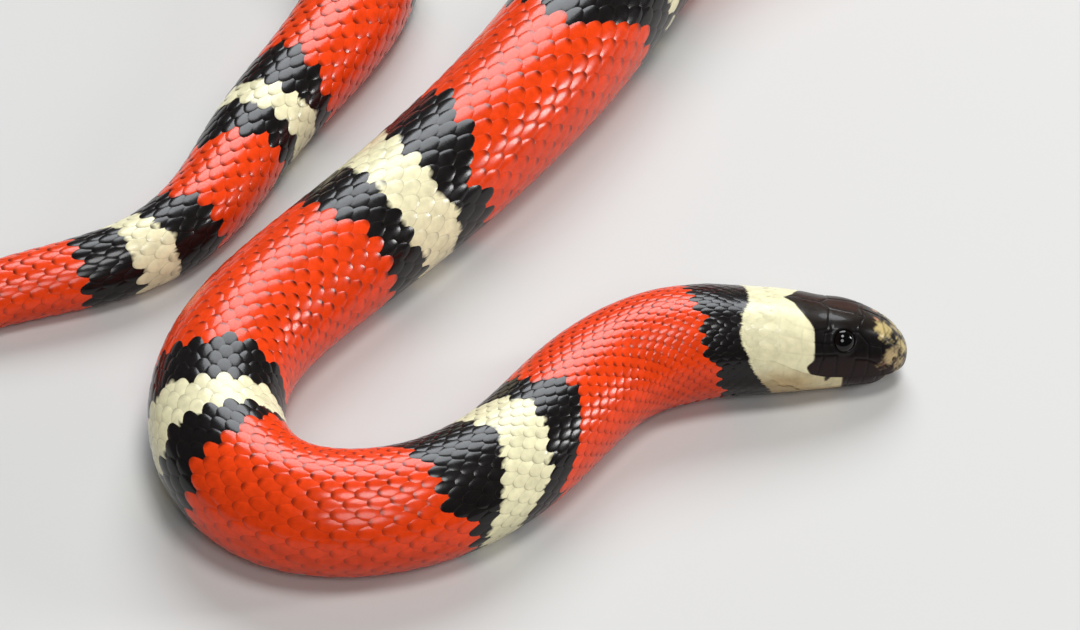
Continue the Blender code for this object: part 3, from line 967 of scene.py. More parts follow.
@dataclass
class Eye:
    """One eye, and the socket that the skin has for it.

    Attributes:
        right: Whether it is the right eye.
        round: The outline of the snake.
        behind_snout: Where its middle is.
        height: Height of that over the middle of the round.
        radius: Half size across.
        depth: Half size outward.
        bulge: How far it stands out of the skin.
        opening: Radius of the hole in the skin.
        hole_edge: How its edge falls off, by the distance outside it.
        socket_depth: How deep the socket is.
        rim: How high the rim round it is.
        rim_out: How far outside the hole it is highest.
        rim_width: How wide the rim is.
        skin_reach: How far in and out skin belongs to the socket.
        segments: The eyeball's faces round and along its axis.
    """

    right: bool
    round: Round
    behind_snout: float = 10.0 * MM
    height: float = 3.35 * MM
    radius: float = 1.74 * MM
    depth: float = 1.30 * MM
    bulge: float = 0.72 * MM
    opening: float = 1.66 * MM
    hole_edge: Ease = Ease(-0.26 * MM, 0.0, 1.0, 0.0)
    socket_depth: float = 1.5 * MM
    rim: float = 0.10 * MM
    rim_out: float = 0.22 * MM
    rim_width: float = 0.26 * MM
    skin_reach: float = 2.5 * MM
    segments: tuple[int, int] = (64, 40)

    def __post_init__(self) -> None:
        """Find where the eye sits and which way it looks."""
        self.side = "right" if self.right else "left"
        self.middle, self.facing = self.round.side_place(
            self.behind_snout, self.height, 1.0 if self.right else -1.0)
        self.centre = self.middle - self.facing * (self.depth - self.bulge)

    def sink(self, points: Array) -> Array:
        """Open a socket in the skin, with a low rim round it.

        Args:
            points: World points of the skin.

        Returns:
            The points, moved where the eye is.
        """
        away = points - self.middle
        out = away @ self.facing
        outside = np.linalg.norm(away - out[..., None] * self.facing, axis=-1) - self.opening
        rim = self.rim * hill(outside - self.rim_out, self.rim_width)
        lift = rim - self.socket_depth * self.hole_edge.at(outside)
        lift = lift * (np.abs(out) < self.skin_reach)
        return points + lift[..., None] * self.facing

    def build(self) -> bpy.types.Object:
        """Make the eyeball, as an object of the scene."""
        bm = bmesh.new()
        segments, rings = self.segments
        bmesh.ops.create_uvsphere(
            bm, u_segments=segments, v_segments=rings, radius=self.radius)
        bmesh.ops.scale(bm, verts=bm.verts, vec=(1.0, 1.0, self.depth / self.radius))
        turn = Vector((0.0, 0.0, 1.0)).rotation_difference(Vector(self.facing)).to_matrix()
        bmesh.ops.rotate(bm, verts=bm.verts, matrix=turn)
        bmesh.ops.translate(bm, verts=bm.verts, vec=Vector(self.centre))
        return finished("eyeball_" + self.side, bm)


def finished(name: str, bm: bmesh.types.BMesh, sharp_degrees: float = 60.0) -> bpy.types.Object:
    """Turn a bmesh into an object of the scene.

    Args:
        name: Name of the object.
        bm: The bmesh, which is freed.
        sharp_degrees: Angle above which an edge stays sharp.

    Returns:
        The new object.
    """
    mesh = bpy.data.meshes.new(name)
    bm.to_mesh(mesh)
    bm.free()
    return placed(mesh, sharp_degrees)


def placed(mesh: bpy.types.Mesh, sharp_degrees: float) -> bpy.types.Object:
    """Put a mesh into the scene as a smooth-shaded object of the same name.

    Args:
        mesh: The mesh.
        sharp_degrees: Angle above which an edge stays sharp.

    Returns:
        The new object.
    """
    mesh.shade_smooth()
    mesh.set_sharp_from_angle(angle=math.radians(sharp_degrees))
    made = bpy.data.objects.new(mesh.name, mesh)
    bpy.context.scene.collection.objects.link(made)
    return made


@dataclass
class Skin:
    """The one skin of the whole snake, with the head's shields in it.

    Attributes:
        round: The outline that it follows.
        plan: The shields' seams.
        markings: The colours.
        eyes: The eyes that it opens for.
        mouth_line: How high the mouth is over the middle, in millimetres.
        mouth_front: How the crease of the mouth starts, by distance.
        mouth_back: How it ends, by distance.
        jaw_set_back: How far back the lower jaw's tip is.
        jaw_inset: How much smaller it is all round at its tip.
        jaw_end: Where it is as large as the head.
        least_jaw: Least height of a jaw with a lip.
        jaw_stub: Half width in front of it, as a share of the head's.
        crease: How far the crease goes up behind the upper lip.
        crease_in: How far it goes in behind the lower lip.
        lip_roll: Where the upper lip turns under, as a share, and its rise.
        head_end: Where the head's close rings end.
        ring_step: How far they are apart.
        row_heights: Limits of the three kinds of rows, by height.
        row_counts: How many rows of each kind one side has.
        outline_turns: How many points each ring is measured at.
        body_gap: How far behind them the body's rings start.
        body_rows: How many rows the body has.
        body_step: How far its rings are apart.
        tip_rings: The last rings, as shares of the tail's rounding.
        coat_start: Where the scales start, by thousandths round.
        coat_ramp: How the skin goes down under them, by the distance past that.
        coat_depth: How far down it goes where they are thickest.
        clearance: How much further it goes everywhere.
        seam_free: How seams fade toward the edge of the lip, by height.
        lip_middle: The height of that edge.
        covered: How the collar starts, by the distance past the black.
        collar_seam: How much of a seam's depth is gone there.
        seam_shade: Painted shade in a seam's groove: how much light it takes on the black and
            on the collar.
        pit_shade: Painted shade in a nostril: how much light it takes.
        crease_shade_line: Height and width of the painted shade along the crease of the mouth.
        crease_shade_end: How much light that painted shade takes and how it ends, by distance.
        under_hue_and_shade: How much of the rings' colour the skin there keeps: it is darker
            for its own dark colour and for painted shade in the gaps between scales.
        net_and_shade: The dark colour that is added there, which is partly painted shade.
        bare_tail: How the skin turns black at the tail's tip, by distance.
        nostril: Distance of a nostril, and its height over the middle.
        nostril_radius: Its radius.
        nostril_depth: Its depth.
        nostril_rim: Height of its rim.
        rim_place: Radius and width of the rim, in nostril radii.
        merge_distance: How close the points are that are merged.
        sharp_degrees: Angle above which an edge stays sharp.
    """

    round: Round
    plan: HeadPlan
    markings: Markings
    eyes: tuple[Eye, ...]
    mouth_line: Table = (
        (0, -1.5), (4, -2.2), (9, -2.5), (12, -2.4), (15, -1.8), (18, -0.7), (22, 0.7),
        (26, 0.9),
    )
    mouth_front: Ease = Ease(1.4 * MM, 2.4 * MM)
    mouth_back: Ease = Ease(20.6 * MM, 22.4 * MM, 1.0, 0.0)
    jaw_set_back: float = 1.1 * MM
    jaw_inset: float = 0.35 * MM
    jaw_end: float = 24.4 * MM
    least_jaw: float = 0.02 * MM
    jaw_stub: float = 0.5
    crease: float = 0.24 * MM
    crease_in: float = 0.12 * MM
    lip_roll: Pair = (0.55, 0.05 * MM)
    head_end: float = 24.0 * MM
    ring_step: float = 0.165 * MM
    row_heights: tuple[float, ...] = (0.0, 1.0, 1.1, 2.0)
    row_counts: tuple[int, ...] = (100, 9, 61)
    outline_turns: int = 721
    body_gap: float = 0.8 * MM
    body_rows: int = 60
    body_step: float = 3.0 * MM
    tip_rings: tuple[float, ...] = (0.6, 0.25, 0.03, 0.0)
    coat_start: Table = (
        (0, 20.3), (250, 20.2), (420, 20.4), (500, 21.6), (600, 20.5), (750, 16.6),
        (1000, 16.2),
    )
    coat_ramp: Ease = Ease(-0.3 * MM, 0.7 * MM)
    coat_depth: float = 0.36 * MM
    clearance: float = 0.04 * MM
    seam_free: Ease = Ease(0.02, 0.09)
    lip_middle: float = 1.03
    covered: Ease = Ease(-0.1 * MM, 0.3 * MM)
    collar_seam: float = 0.75
    seam_shade: Pair = (0.55, 0.08)
    pit_shade: float = 0.9
    crease_shade_line: Pair = (1.055, 0.022)
    crease_shade_end: Ease = Ease(20.8 * MM, 22.4 * MM, 0.85, 0.0)
    under_hue_and_shade: float = 0.35
    net_and_shade: Rgb = (0.016, 0.010, 0.009)
    bare_tail: Ease = Ease(1016.0 * MM, 1020.0 * MM)
    nostril: Pair = (2.3 * MM, 0.4 * MM)
    nostril_radius: float = 0.34 * MM
    nostril_depth: float = 0.55 * MM
    nostril_rim: float = 0.05 * MM
    rim_place: Pair = (1.5, 0.5)
    merge_distance: float = 0.001 * MM
    sharp_degrees: float = 75.0

    def build(self) -> bpy.types.Object:
        """Make the skin, as one closed object with its colours."""
        bm = bmesh.new()
        layer = bm.verts.layers.float_color.new("Hue")
        for points, hues in (self._head_grid(), self._body_grid()):
            rings, rows = points.shape[:2]
            grid = bmesh.ops.create_grid(
                bm, x_segments=rows - 1, y_segments=rings - 1, size=1.0)
            places = points.reshape(-1, 3).tolist()
            colours = hues.reshape(-1, 3).tolist()
            for vert, place, colour in zip(grid["verts"], places, colours):
                vert.co = place
                vert[layer] = (*colour, 1.0)
        bmesh.ops.remove_doubles(bm, verts=bm.verts, dist=self.merge_distance)
        ends = [edge for edge in bm.edges if edge.is_boundary]
        bmesh.ops.bridge_loops(bm, edges=ends)
        bmesh.ops.recalc_face_normals(bm, faces=bm.faces)
        return finished("skin", bm, self.sharp_degrees)

    def _half_rows(self) -> Array:
        """Give the heights of the rows of one side: 0 on top, 1 at the mouth, 2 below."""
        top, mouth, jaw, chin = self.row_heights
        upper, lip, lower = self.row_counts
        return np.concatenate([
            np.linspace(top, mouth, upper, endpoint=False),
            np.linspace(mouth, jaw, lip, endpoint=False),
            np.linspace(jaw, chin, lower + 1),
        ])

    def _head_distances(self) -> Array:
        """Space the rings of the head evenly along its surface."""
        front = self.round.snout_round
        count = int(front * math.pi / 2 / self.ring_step)
        rounding = front * (1 - np.cos(np.linspace(0.0, math.pi / 2, count)))
        rest = int((self.head_end - front) / self.ring_step)
        return np.concatenate([rounding, np.linspace(front, self.head_end, rest)[1:]])

    def _jaw_section(self, distance: float, turns: Array) -> tuple[Array, Array]:
        """Give the outline of the lower jaw, whose tip is set back and a little smaller.

        Args:
            distance: How far behind the snout.
            turns: Angles round the body.

        Returns:
            How far each point is to the right of and above the middle of the round.
        """
        at = distance + 0 * turns
        if distance > self.jaw_end:
            return self.round.section(at, turns)
        closing = quarter_round(distance - self.jaw_set_back, self.round.snout_round)
        inset = self.jaw_inset * closing * (1 - distance / self.jaw_end)
        return self.round.section(at, turns, inset, closing + 0 * turns)

    def _head_ring(self, distance: float, rows: Array) -> tuple[Array, float, float]:
        """Give one ring of the head in the plane square to the spine.

        Args:
            distance: How far behind the snout.
            rows: Heights of the rows.

        Returns:
            How far each row is to the side and up, and the ring's lengths above and below
            the mouth.
        """
        turns = np.linspace(math.pi / 2, -math.pi / 2, self.outline_turns)
        side, up = self.round.section(distance + 0 * turns, turns)
        mouth = smooth_table(self.mouth_line, distance) * MM
        meets = up[-1] < mouth
        cut = np.interp(-mouth, -up, turns) if meets else -math.pi / 2
        above = turns > cut
        corner = np.array([np.interp(-cut, -turns, side), max(mouth, up[-1])])
        upper = np.vstack([np.stack([side[above], up[above]], 1), corner])
        jaw_side, jaw_up = self._jaw_section(distance, turns)
        if meets and jaw_up[-1] < mouth - self.least_jaw:
            jaw_cut = np.interp(-mouth, -jaw_up, turns)
            below = turns < jaw_cut
            start = np.interp(-jaw_cut, -turns, jaw_side)
            jaw = np.vstack([[start, mouth], np.stack([jaw_side[below], jaw_up[below]], 1)])
            opened = self.mouth_front.at(distance) * self.mouth_back.at(distance)
        else:
            start = corner[0] * self.jaw_stub
            jaw = np.array([[start, corner[1]], [0.0, corner[1]]])
            opened = 0.0
        turn_in, rise = self.lip_roll
        lip = np.array([
            corner,
            [start + turn_in * (corner[0] - start), corner[1] + rise * opened],
            [start - self.crease_in * opened, corner[1] + self.crease * opened],
            jaw[0],
        ])
        ring = np.empty((len(rows), 2))
        for line, low, high in zip((upper, lip, jaw), self.row_heights, self.row_heights[1:]):
            chosen = (rows >= low) & (rows <= high)
            lengths = steps_along(line)
            want = (rows[chosen] - low) / (high - low) * lengths[-1]
            for axis in (0, 1):
                ring[chosen, axis] = np.interp(want, lengths, line[:, axis])
        jaw_rows = self.row_heights[3] - self.row_heights[2]
        return ring, steps_along(upper)[-1], steps_along(jaw)[-1] / jaw_rows

    def _head_grid(self) -> tuple[Array, Array]:
        """Place the head's part of the skin.

        Returns:
            Its points by ring and row, and their colours, with painted shade in the seams, the
            nostrils and the crease of the mouth.
        """
        rows = self._half_rows()
        distances = self._head_distances()
        rings, upper, lower = zip(*(self._head_ring(at, rows) for at in distances))
        half = np.array(rings)
        mirrored = half[:, ::-1] * np.array([-1.0, 1.0])
        places = np.concatenate([mirrored, half[:, 1:]], axis=1)
        distance = distances[:, None] + 0 * places[..., 0]
        heights = np.concatenate([rows[::-1], rows[1:]]) + 0 * distance
        signs = np.where(np.arange(heights.shape[1]) < len(rows), -1.0, 1.0)
        upper = np.array(upper)[:, None] + 0 * distance
        lower = np.array(lower)[:, None] + 0 * distance
        axis = self.round.axis_height(distance)
        points = self.round.spine.place(distance, places[..., 0], places[..., 1], axis)
        facing = unit(np.cross(np.gradient(points, axis=0), np.gradient(points, axis=1)))
        middle = self.round.spine.place(distance, 0 * distance, 0 * distance, axis)
        outward = np.sum(facing * (points - middle), axis=-1)
        facing = facing * np.where(np.median(outward) < 0, -1.0, 1.0)
        share = np.where(heights < 1.0, heights * upper, upper + (heights - 1.0) * lower)
        share = share / (upper + lower)
        off_lip = self.seam_free.at(np.abs(heights - self.lip_middle))
        coat = self._coat_ramp(distance, share)
        seam = self.plan.nearness(distance, heights, upper, lower) * off_lip * (1 - coat)
        collar = self.covered.at(distance - self.markings.dark_reach(share * signs, heights))
        depth = self.plan.depth * (1 - self.collar_seam * collar)
        lift = -depth * seam - self._under_coat(distance) * coat * off_lip
        points = points + facing * lift[..., None]
        for eye in self.eyes:
            points = eye.sink(points)
        points, pit = self._nostrils(points)
        points = self.round.rested(points)
        hues = self.markings.head_hues(distance, share * signs, heights, upper + lower, points)
        # Painted shade in the seams' grooves, fainter on the collar.
        seam = seam * np.interp(collar, (0.0, 1.0), self.seam_shade)
        # Painted shade along the crease of the mouth.
        line, width = self.crease_shade_line
        crease = hill(heights - line, width) * self.crease_shade_end.at(distance)
        # Painted shade of the seams, the nostrils and the crease of the mouth.
        light = (1 - seam) * (1 - self.pit_shade * pit) * (1 - crease)
        return points, hues * light[..., None]

    def _under_coat(self, distance: Array) -> Array:
        """Give how far the skin lies below the solids' surface where scales cover it."""
        return self.coat_depth * coat_size(distance) + self.clearance

    def _coat_ramp(self, distance: Array, share: Array) -> Array:
        """Say how far the skin has gone down to where the scales lie on it, from 0 to 1."""
        return self.coat_ramp.at(distance - round_table(self.coat_start, np.abs(share)))

    def _nostrils(self, points: Array) -> tuple[Array, Array]:
        """Press the nostrils into the snout.

        Args:
            points: World points of the skin.

        Returns:
            The moved points, and how deep each is in a nostril from 0 to 1.
        """
        pit = np.zeros(points.shape[:-1])
        rim_radius, rim_width = (share * self.nostril_radius for share in self.rim_place)
        for sign in (1.0, -1.0):
            middle, facing = self.round.side_place(*self.nostril, sign)
            away = np.linalg.norm(points - middle, axis=-1)
            hole = np.exp(-(away / self.nostril_radius) ** 4)
            lift = self.nostril_rim * hill(away - rim_radius, rim_width)
            lift = lift - self.nostril_depth * hole
            points = points + lift[..., None] * facing
            pit = np.maximum(pit, hole)
        return points, pit

    def _body_grid(self) -> tuple[Array, Array]:
        """Place the skin under the scales, from behind the head to the tip of the tail.

        Returns:
            Its points by ring and row, and their colours, which are partly painted shade.
        """
        length, rounding = self.round.spine.length, self.round.tail_round
        count = int((length - self.head_end) / self.body_step)
        distances = np.linspace(self.head_end + self.body_gap, length - rounding, count)
        tip = length - rounding * np.array(self.tip_rings)
        distances = np.concatenate([distances, tip])
        shares = np.linspace(-1.0, 1.0, self.body_rows + 1)
        distance = distances[:, None] + 0 * shares
        share = shares + 0 * distance
        points = self.round.lifted(distance, share, -self._under_coat(distance))
        zero, end = np.zeros(1), distances[-1:]
        points[-1] = self.round.spine.place(end, zero, zero, self.round.axis_height(end))[0]
        # The skin under the scales is darker: partly its own colour, partly painted shade in
        # the gaps between them.
        hues = self.markings.ring_hues(distance, share) * self.under_hue_and_shade + np.array(self.net_and_shade)
        return points, tinted(hues, self.bare_tail.at(distance), Hue.BLACK)


# How long the scales are along the body, how many rows go round its back and sides, in
# millimetres and rows, and the share of the way round that these rows cover.
SCALE_PITCH: Table = (
    (14, 1.75), (25, 2.1), (40, 2.35), (60, 2.5), (80, 2.7), (100, 2.9), (137, 3.0),
    (155, 3.35), (170, 3.75), (190, 4.4), (300, 4.6), (500, 4.7), (700, 4.5), (800, 4.0),
    (862, 3.5), (930, 2.8), (1000, 1.8), (1026, 1.0),
)
SCALE_ROWS: Table = (
    (14, 38), (28, 43), (38, 43), (55, 35), (75, 31), (100, 28), (130, 26.5), (700, 26),
    (800, 23), (862, 20), (930, 15), (1000, 9), (1026, 8),
)
BACK_SHARE = 0.72

# How the coat gets thinner toward the collar, and with the length of its scales: the length
# of those that have the full thickness, the least share, and the power of the change.
COLLAR_COAT = Ease(23 * MM, 32 * MM, 0.26, 1.0)
FULL_PITCH = 4.2
LEAST_COAT = 0.15
COAT_POWER = 0.8


def coat_size(distance: Array) -> Array:
    """Say how thick the coat of scales is, as a share of its thickness on the body."""
    size = np.clip(smooth_table(SCALE_PITCH, distance) / FULL_PITCH, LEAST_COAT, 1.0)
    return COLLAR_COAT.at(distance) * size ** COAT_POWER


def row_sizes(form: Round, distance: float) -> Triple:
    """Give the scales' length, the length round one side of the body and a row's width."""
    pitch, girth = smooth_table(SCALE_PITCH, distance) * MM, form.half_girth(distance)
    return pitch, girth, 2 * BACK_SHARE * girth / smooth_table(SCALE_ROWS, distance)


@dataclass
class ScalePattern:
    """The shape of one scale, in scale lengths and row widths round its middle.

    Attributes:
        turns: Angles round it, closer together at its free end.
        rings: Sizes of its rings of points.
        back: How far the free end is behind the middle.
        front: How far the covered end is in front of the middle.
        half_width: How far it reaches to either side.
        power: Roundness of its outline.
        tilt: How much higher its back is, in millimetres a length.
        dome: How high it is domed, in millimetres.
        dome_power: How late the dome falls off.
        rolled: How far the rim is turned down, in thicknesses.
        thickness: Thickness of the free rim, in millimetres.
        skirt_in: Size of the foot of that rim.
        free_cosine: Cosine of the angle where the free rim ends.
    """

    turns: tuple[float, ...] = (
        0, 20, 40, 62, 84, 112, 148, 180, -148, -112, -84, -62, -40, -20,
    )
    rings: tuple[float, ...] = (0.55, 0.86, 1.0)
    back: float = 0.57
    front: float = 0.56
    half_width: float = 0.80
    power: float = 1.9
    tilt: float = 0.13
    dome: float = 0.10
    dome_power: float = 2.2
    rolled: float = 0.2
    thickness: float = 0.12
    skirt_in: float = 0.97
    free_cosine: float = -0.3

    def __post_init__(self) -> None:
        """Work out the points and faces once for every scale."""
        turn = np.radians(np.array(self.turns, dtype=float))
        reach = np.where(np.cos(turn) > 0, self.back, self.front)
        x = signed_power(np.cos(turn), 2 / self.power) * reach
        y = signed_power(np.sin(turn), 2 / self.power) * self.half_width
        count, rings = len(turn), len(self.rings)
        free = [i for i in range(count) if math.cos(turn[i]) > self.free_cosine]
        free = sorted(free, key=lambda i: self.turns[i])
        self.x, self.y = (
            np.concatenate([[0.0], *(values * ring for ring in self.rings),
                            values[free] * self.skirt_in])
            for values in (x, y))
        number = np.arange(len(self.x))
        rim, foot = 1 + count * (rings - 1), 1 + count * rings
        self.rim = (number >= rim).astype(float)
        self.down = (number >= foot).astype(float)
        self.triangles = np.array([(0, 1 + i, 1 + (i + 1) % count) for i in range(count)])
        quads = []
        for near in range(1, rim, count):
            for i in range(near, near + count):
                after = near + (i - near + 1) % count
                quads.append((i, i + count, after + count, after))
        for i, (this, following) in enumerate(zip(free, free[1:])):
            quads.append((rim + this, foot + i, foot + i + 1, rim + following))
        self.quads = np.array(quads)

    def heights(self) -> Array:
        """Give the heights of the pattern's points over the coat's base, in millimetres."""
        reach = np.where(self.x > 0, self.back, self.front)
        away = np.hypot(self.x / reach, self.y / self.half_width)
        domed = self.dome * (1 - np.clip(away, 0.0, 1.0) ** self.dome_power)
        rolled = self.rolled * self.thickness * self.rim
        return self.tilt * self.x + domed - rolled - self.down * self.thickness


def joined(name: str, points: Array, faces: tuple[Array, ...], hues: Array, places: Array,
           sharp_degrees: float = 50.0) -> bpy.types.Object:
    """Join many copies of one small thing into an object of the scene.

    Args:
        name: Name of the object.
        points: The points, by copy and point.
        faces: The faces of one copy, in arrays with faces of one size.
        hues: Their linear colours.
        places: Their places on the bake map.
        sharp_degrees: Angle above which an edge stays sharp.

    Returns:
        The new object, with its colours and its map.
    """
    copies, count = points.shape[:2]
    offsets = (np.arange(copies) * count)[:, None, None]
    every = [(array[None] + offsets).reshape(-1, array.shape[1]) for array in faces]
    corners = np.concatenate([array.ravel() for array in every]).astype(np.int32)
    sizes = np.concatenate([np.full(len(array), array.shape[1]) for array in every])
    starts = np.concatenate([[0], np.cumsum(sizes)[:-1]]).astype(np.int32)
    mesh = bpy.data.meshes.new(name)
    mesh.vertices.add(copies * count)
    mesh.vertices.foreach_set("co", points.astype(np.float32).ravel())
    mesh.loops.add(len(corners))
    mesh.loops.foreach_set("vertex_index", corners)
    mesh.polygons.add(len(starts))
    mesh.polygons.foreach_set("loop_start", starts)
    mesh.update(calc_edges=True)
    colours = mesh.color_attributes.new(name="Hue", type="FLOAT_COLOR", domain="POINT")
    rgba = np.ones((copies * count, 4), dtype=np.float32)
    rgba[:, :3] = hues.reshape(-1, 3)
    colours.data.foreach_set("color", rgba.ravel())
    layer = mesh.uv_layers.new(name="OFBake")
    where = places.reshape(-1, 2)[corners].astype(np.float32)
    layer.data.foreach_set("uv", where.ravel())
    return placed(mesh, sharp_degrees)


@dataclass(frozen=True)
class BakeMap:
    """The unwrap of the skin that each scale's small patch is placed on.

    The body is cut into strips of equal length, laid above one another.

    Attributes:
        strip: Length of one strip.
        strips: How many strips there are.
        along_margin: Share of the width left free before a strip.
        round_margin: Share of a strip's height left free below it.
        patch: How wide a patch is on the map.
        patch_scale: How much of it a scale's length and width take up.
    """

    strip: float = 130.0 * MM
    strips: int = 8
    along_margin: float = 0.005
    round_margin: float = 0.02
    patch: float = 0.003
    patch_scale: Pair = (0.8, 0.48)

    def places(self, distance: Array, share: Array, along: Array, across: Array) -> Array:
        """Give the map places of the points of some scales.

        Args:
            distance: How far each scale's root is behind the snout.
            share: How far each scale's root is round the body.
            along: The points of the scale's pattern along it, from about -0.6 to 0.6.
            across: The points of the pattern across it, from about -1 to 1.

        Returns:
            Places on the map, by scale and point.
        """
        number = np.floor(distance / self.strip)
        length = 1 - 2 * self.along_margin
        height = 1 - 2 * self.round_margin
        u = self.along_margin + length * (distance / self.strip - number)
        turned = np.mod(share + 1.0, 2.0) / 2.0
        v = (number + self.round_margin + height * turned) / self.strips
        u = u[:, None] + along * self.patch * self.patch_scale[0]
        v = v[:, None] + across * self.patch * self.patch_scale[1]
        return np.stack([u + 0 * v, v + 0 * u], axis=-1)


@dataclass
class Coat:
    """The scales of the back, sides and tail, in pieces that follow one another.

    Attributes:
        round: The outline that the scales lie on.
        markings: The rings.
        skin: The skin under them.
        pattern: The shape of one scale.
        bake: The map for their colours.
        start: Where their rows start.
        throat_end: Where they stop going all the way round.
        tip_clearance: How far before the tail's tip they end.
        overhang: How far a scale reaches forward, in lengths.
        base: Height of its base over the solids' surface.
        thickness: Least and greatest thickness by chance.
        piece_scales: Most scales in a piece.
        net_and_shade: The colour of the dark rims: the dark skin between the scales, which also
            stands for painted shadow under their free edges.
        edge_run: How much of a ring's edge runs across the scales.
        red_mark: How much more red than blue light a red scale has.
        ragged: How the edges turn ragged behind the neck, by distance.
        edge_shift: How far such an edge jumps between scales, in lengths.
        outlines: How plain the dark rims and their painted shadow are, by distance.
        pale_tips: How much of the dark tips pale scales have, by green light.
        lower_side_shade: Painted shade on the lower scales: how much light they send back, by
            share.
        tones: Least and greatest light by chance.
        tip_back: Where a scale's dark tip is, along the scale.
        tip_side: Where it ends to the sides.
        free_rim: Where the rim has the dark skin colour and painted shadow, along the scale.
        rim_net_and_shade: How much of that colour the rim has.
        foot_shade: How much of it the foot of the rim has, as painted shadow under the free
            edge.
        net_most: The most that any point has.
        net_cover: How much of a scale's colour that dark skin colour and painted shadow hide.
        seed: Seed of the random draws.
    """

    round: Round
    markings: Markings
    skin: Skin
    pattern: ScalePattern
    bake: BakeMap
    start: float = 14.0 * MM
    throat_end: float = 27.0 * MM
    tip_clearance: float = 2.6 * MM
    overhang: float = 0.33
    base: float = -0.26 * MM
    thickness: Pair = (0.9, 1.1)
    piece_scales: int = 1700
    net_and_shade: Rgb = (0.022, 0.015, 0.013)
    edge_run: float = 0.4
    red_mark: float = 0.69
    ragged: Ease = Ease(33.0 * MM, 42.0 * MM)
    edge_shift: float = 0.35
    outlines: Ease = Ease(24.0 * MM, 31.0 * MM, 0.3, 1.0)
    pale_tips: Ease = Ease(0.1, 0.5, 1.0, 0.3)
    lower_side_shade: Ease = Ease(0.42, 0.72, 1.0, 0.78)
    tones: Pair = (0.93, 1.07)
    tip_back: Ease = Ease(0.28, 0.50)
    tip_side: Ease = Ease(0.12, 0.45, 1.0, 0.0)
    free_rim: Ease = Ease(-0.20, 0.35)
    rim_net_and_shade: float = 0.52
    foot_shade: float = 0.8
    net_most: float = 0.85
    net_cover: float = 0.75
    seed: int = 5

    def build(self) -> list[bpy.types.Object]:
        """Make every piece of the coat, from neck to tail."""
        roots = self._roots()
        draws = np.random.default_rng(self.seed).uniform(0.0, 1.0, (len(roots), 6))
        pieces = []
        for start in range(0, len(roots), self.piece_scales):
            chosen = slice(start, start + self.piece_scales)
            name = f"scales_{len(pieces) + 1}"
            pieces.append(self._piece(name, roots[chosen], draws[chosen]))
        return pieces

    def _roots(self) -> Array:
        """Lay out the scales in rows that are half a scale out of step with each other.

        Returns:
            For each scale its distance, how far it is from the middle of the back, its
            length and the width of its row.
        """
        roots = []
        distance, number = self.start, 0
        while distance < self.round.spine.length - self.tip_clearance:
            pitch, girth, width = row_sizes(self.round, distance)
            reach = girth if distance < self.throat_end else BACK_SHARE * girth
            count = int(reach / width)
            for row in range(-count, count + 1):
                start = round_table(self.skin.coat_start, abs(row * width / girth))
                free = distance - self.overhang * pitch > start
                if (row + number) % 2 == 0 and free:
                    roots.append((distance, row * width, pitch, width))
            distance += pitch / 2
            number += 1
        return np.array(roots)

    def _piece(self, name: str, roots: Array, draws: Array) -> bpy.types.Object:
        """Make one piece of the coat.

        Args:
            name: Name of the piece.
            roots: The scales that it has.
            draws: Random numbers from 0 to 1, six for each scale.

        Returns:
            The piece.
        """
        pattern = self.pattern
        distance, across, pitch, width = roots.T
        at = distance[:, None] + pattern.x * pitch[:, None]
        share = (across[:, None] + pattern.y * width[:, None]) / self.round.half_girth(at)
        size = coat_size(distance)[:, None]
        swell = np.interp(draws[:, :1], (0.0, 1.0), self.thickness)
        height = self.base * size + pattern.heights() * MM * size * swell
        points = self.round.lifted(at, share, height)
        root_share = across / self.round.half_girth(distance)
        shift = (draws[:, 1] - 0.5) * self.edge_shift * pitch * self.ragged.at(distance)
        hues = self._hues(distance + shift, root_share, at, share)
        strength = self.markings.tip_strength(distance, root_share, draws[:, 3])
        strength = strength * self.pale_tips.at(hues[:, 0, 1])
        tone = np.interp(draws[:, 4], (0.0, 1.0), self.tones)
        # Painted shade: the lower scales get darker toward the floor.
        tone = tone * self.lower_side_shade.at(np.abs(root_share))
        hues = self._shaded(hues, strength, tone, self.outlines.at(distance))
        places = self.bake.places(distance, root_share, pattern.x, pattern.y)
        return joined(name, points, (pattern.triangles, pattern.quads), hues, places)

    def _hues(self, distance: Array, share: Array, at: Array, around: Array) -> Array:
        """Give the ring colours. Red scales are of one, and pale edges run across scales.

        Args:
            distance: How far each scale is behind the snout.
            share: How far each scale is round the body.
            at: How far the scales' points are behind the snout.
            around: How far they are round the body.

        Returns:
            Colours by scale and point.
        """
        whole = self.markings.scale_hues(distance, share)[:, None, :]
        run = 1.0 - (1.0 - self.edge_run) * self.ragged.at(distance)[:, None]
        edge = distance[:, None] + run * (at - distance[:, None])
        points = self.markings.scale_hues(edge, folded(around))
        redness = np.maximum(whole[..., :1] - whole[..., 2:], points[..., :1] - points[..., 2:])
        return np.where(redness > self.red_mark, whole, points)

    def _shaded(self, hues: Array, strength: Array, tone: Array, outline: Array) -> Array:
        """Colour the points of each scale, with its dark tip and its rim of dark skin colour
        and painted shadow.

        Args:
            hues: Colours by scale and point.
            strength: How dark each tip is.
            tone: The share of its colour's light that each scale sends back: a random tone with
                painted shade on the lower sides.
            outline: How plain each scale's dark rim and its painted shadow are.

        Returns:
            Colours by scale and point.
        """
        pattern = self.pattern
        tip = self.tip_back.at(pattern.x) * self.tip_side.at(np.abs(pattern.y))
        # The rim and its foot take the dark skin colour, which also stands for painted shadow
        # under the free edge.
        rim = self.rim_net_and_shade * pattern.rim * self.free_rim.at(pattern.x)
        net_and_shade = np.clip(rim + self.foot_shade * pattern.down, 0.0, self.net_most)
        net_and_shade = (net_and_shade * outline[:, None])[..., None]
        shaded = hues * ((1 - strength[:, None] * tip) * tone[:, None])[..., None]
        return shaded + net_and_shade * (np.array(self.net_and_shade) - self.net_cover * shaded)


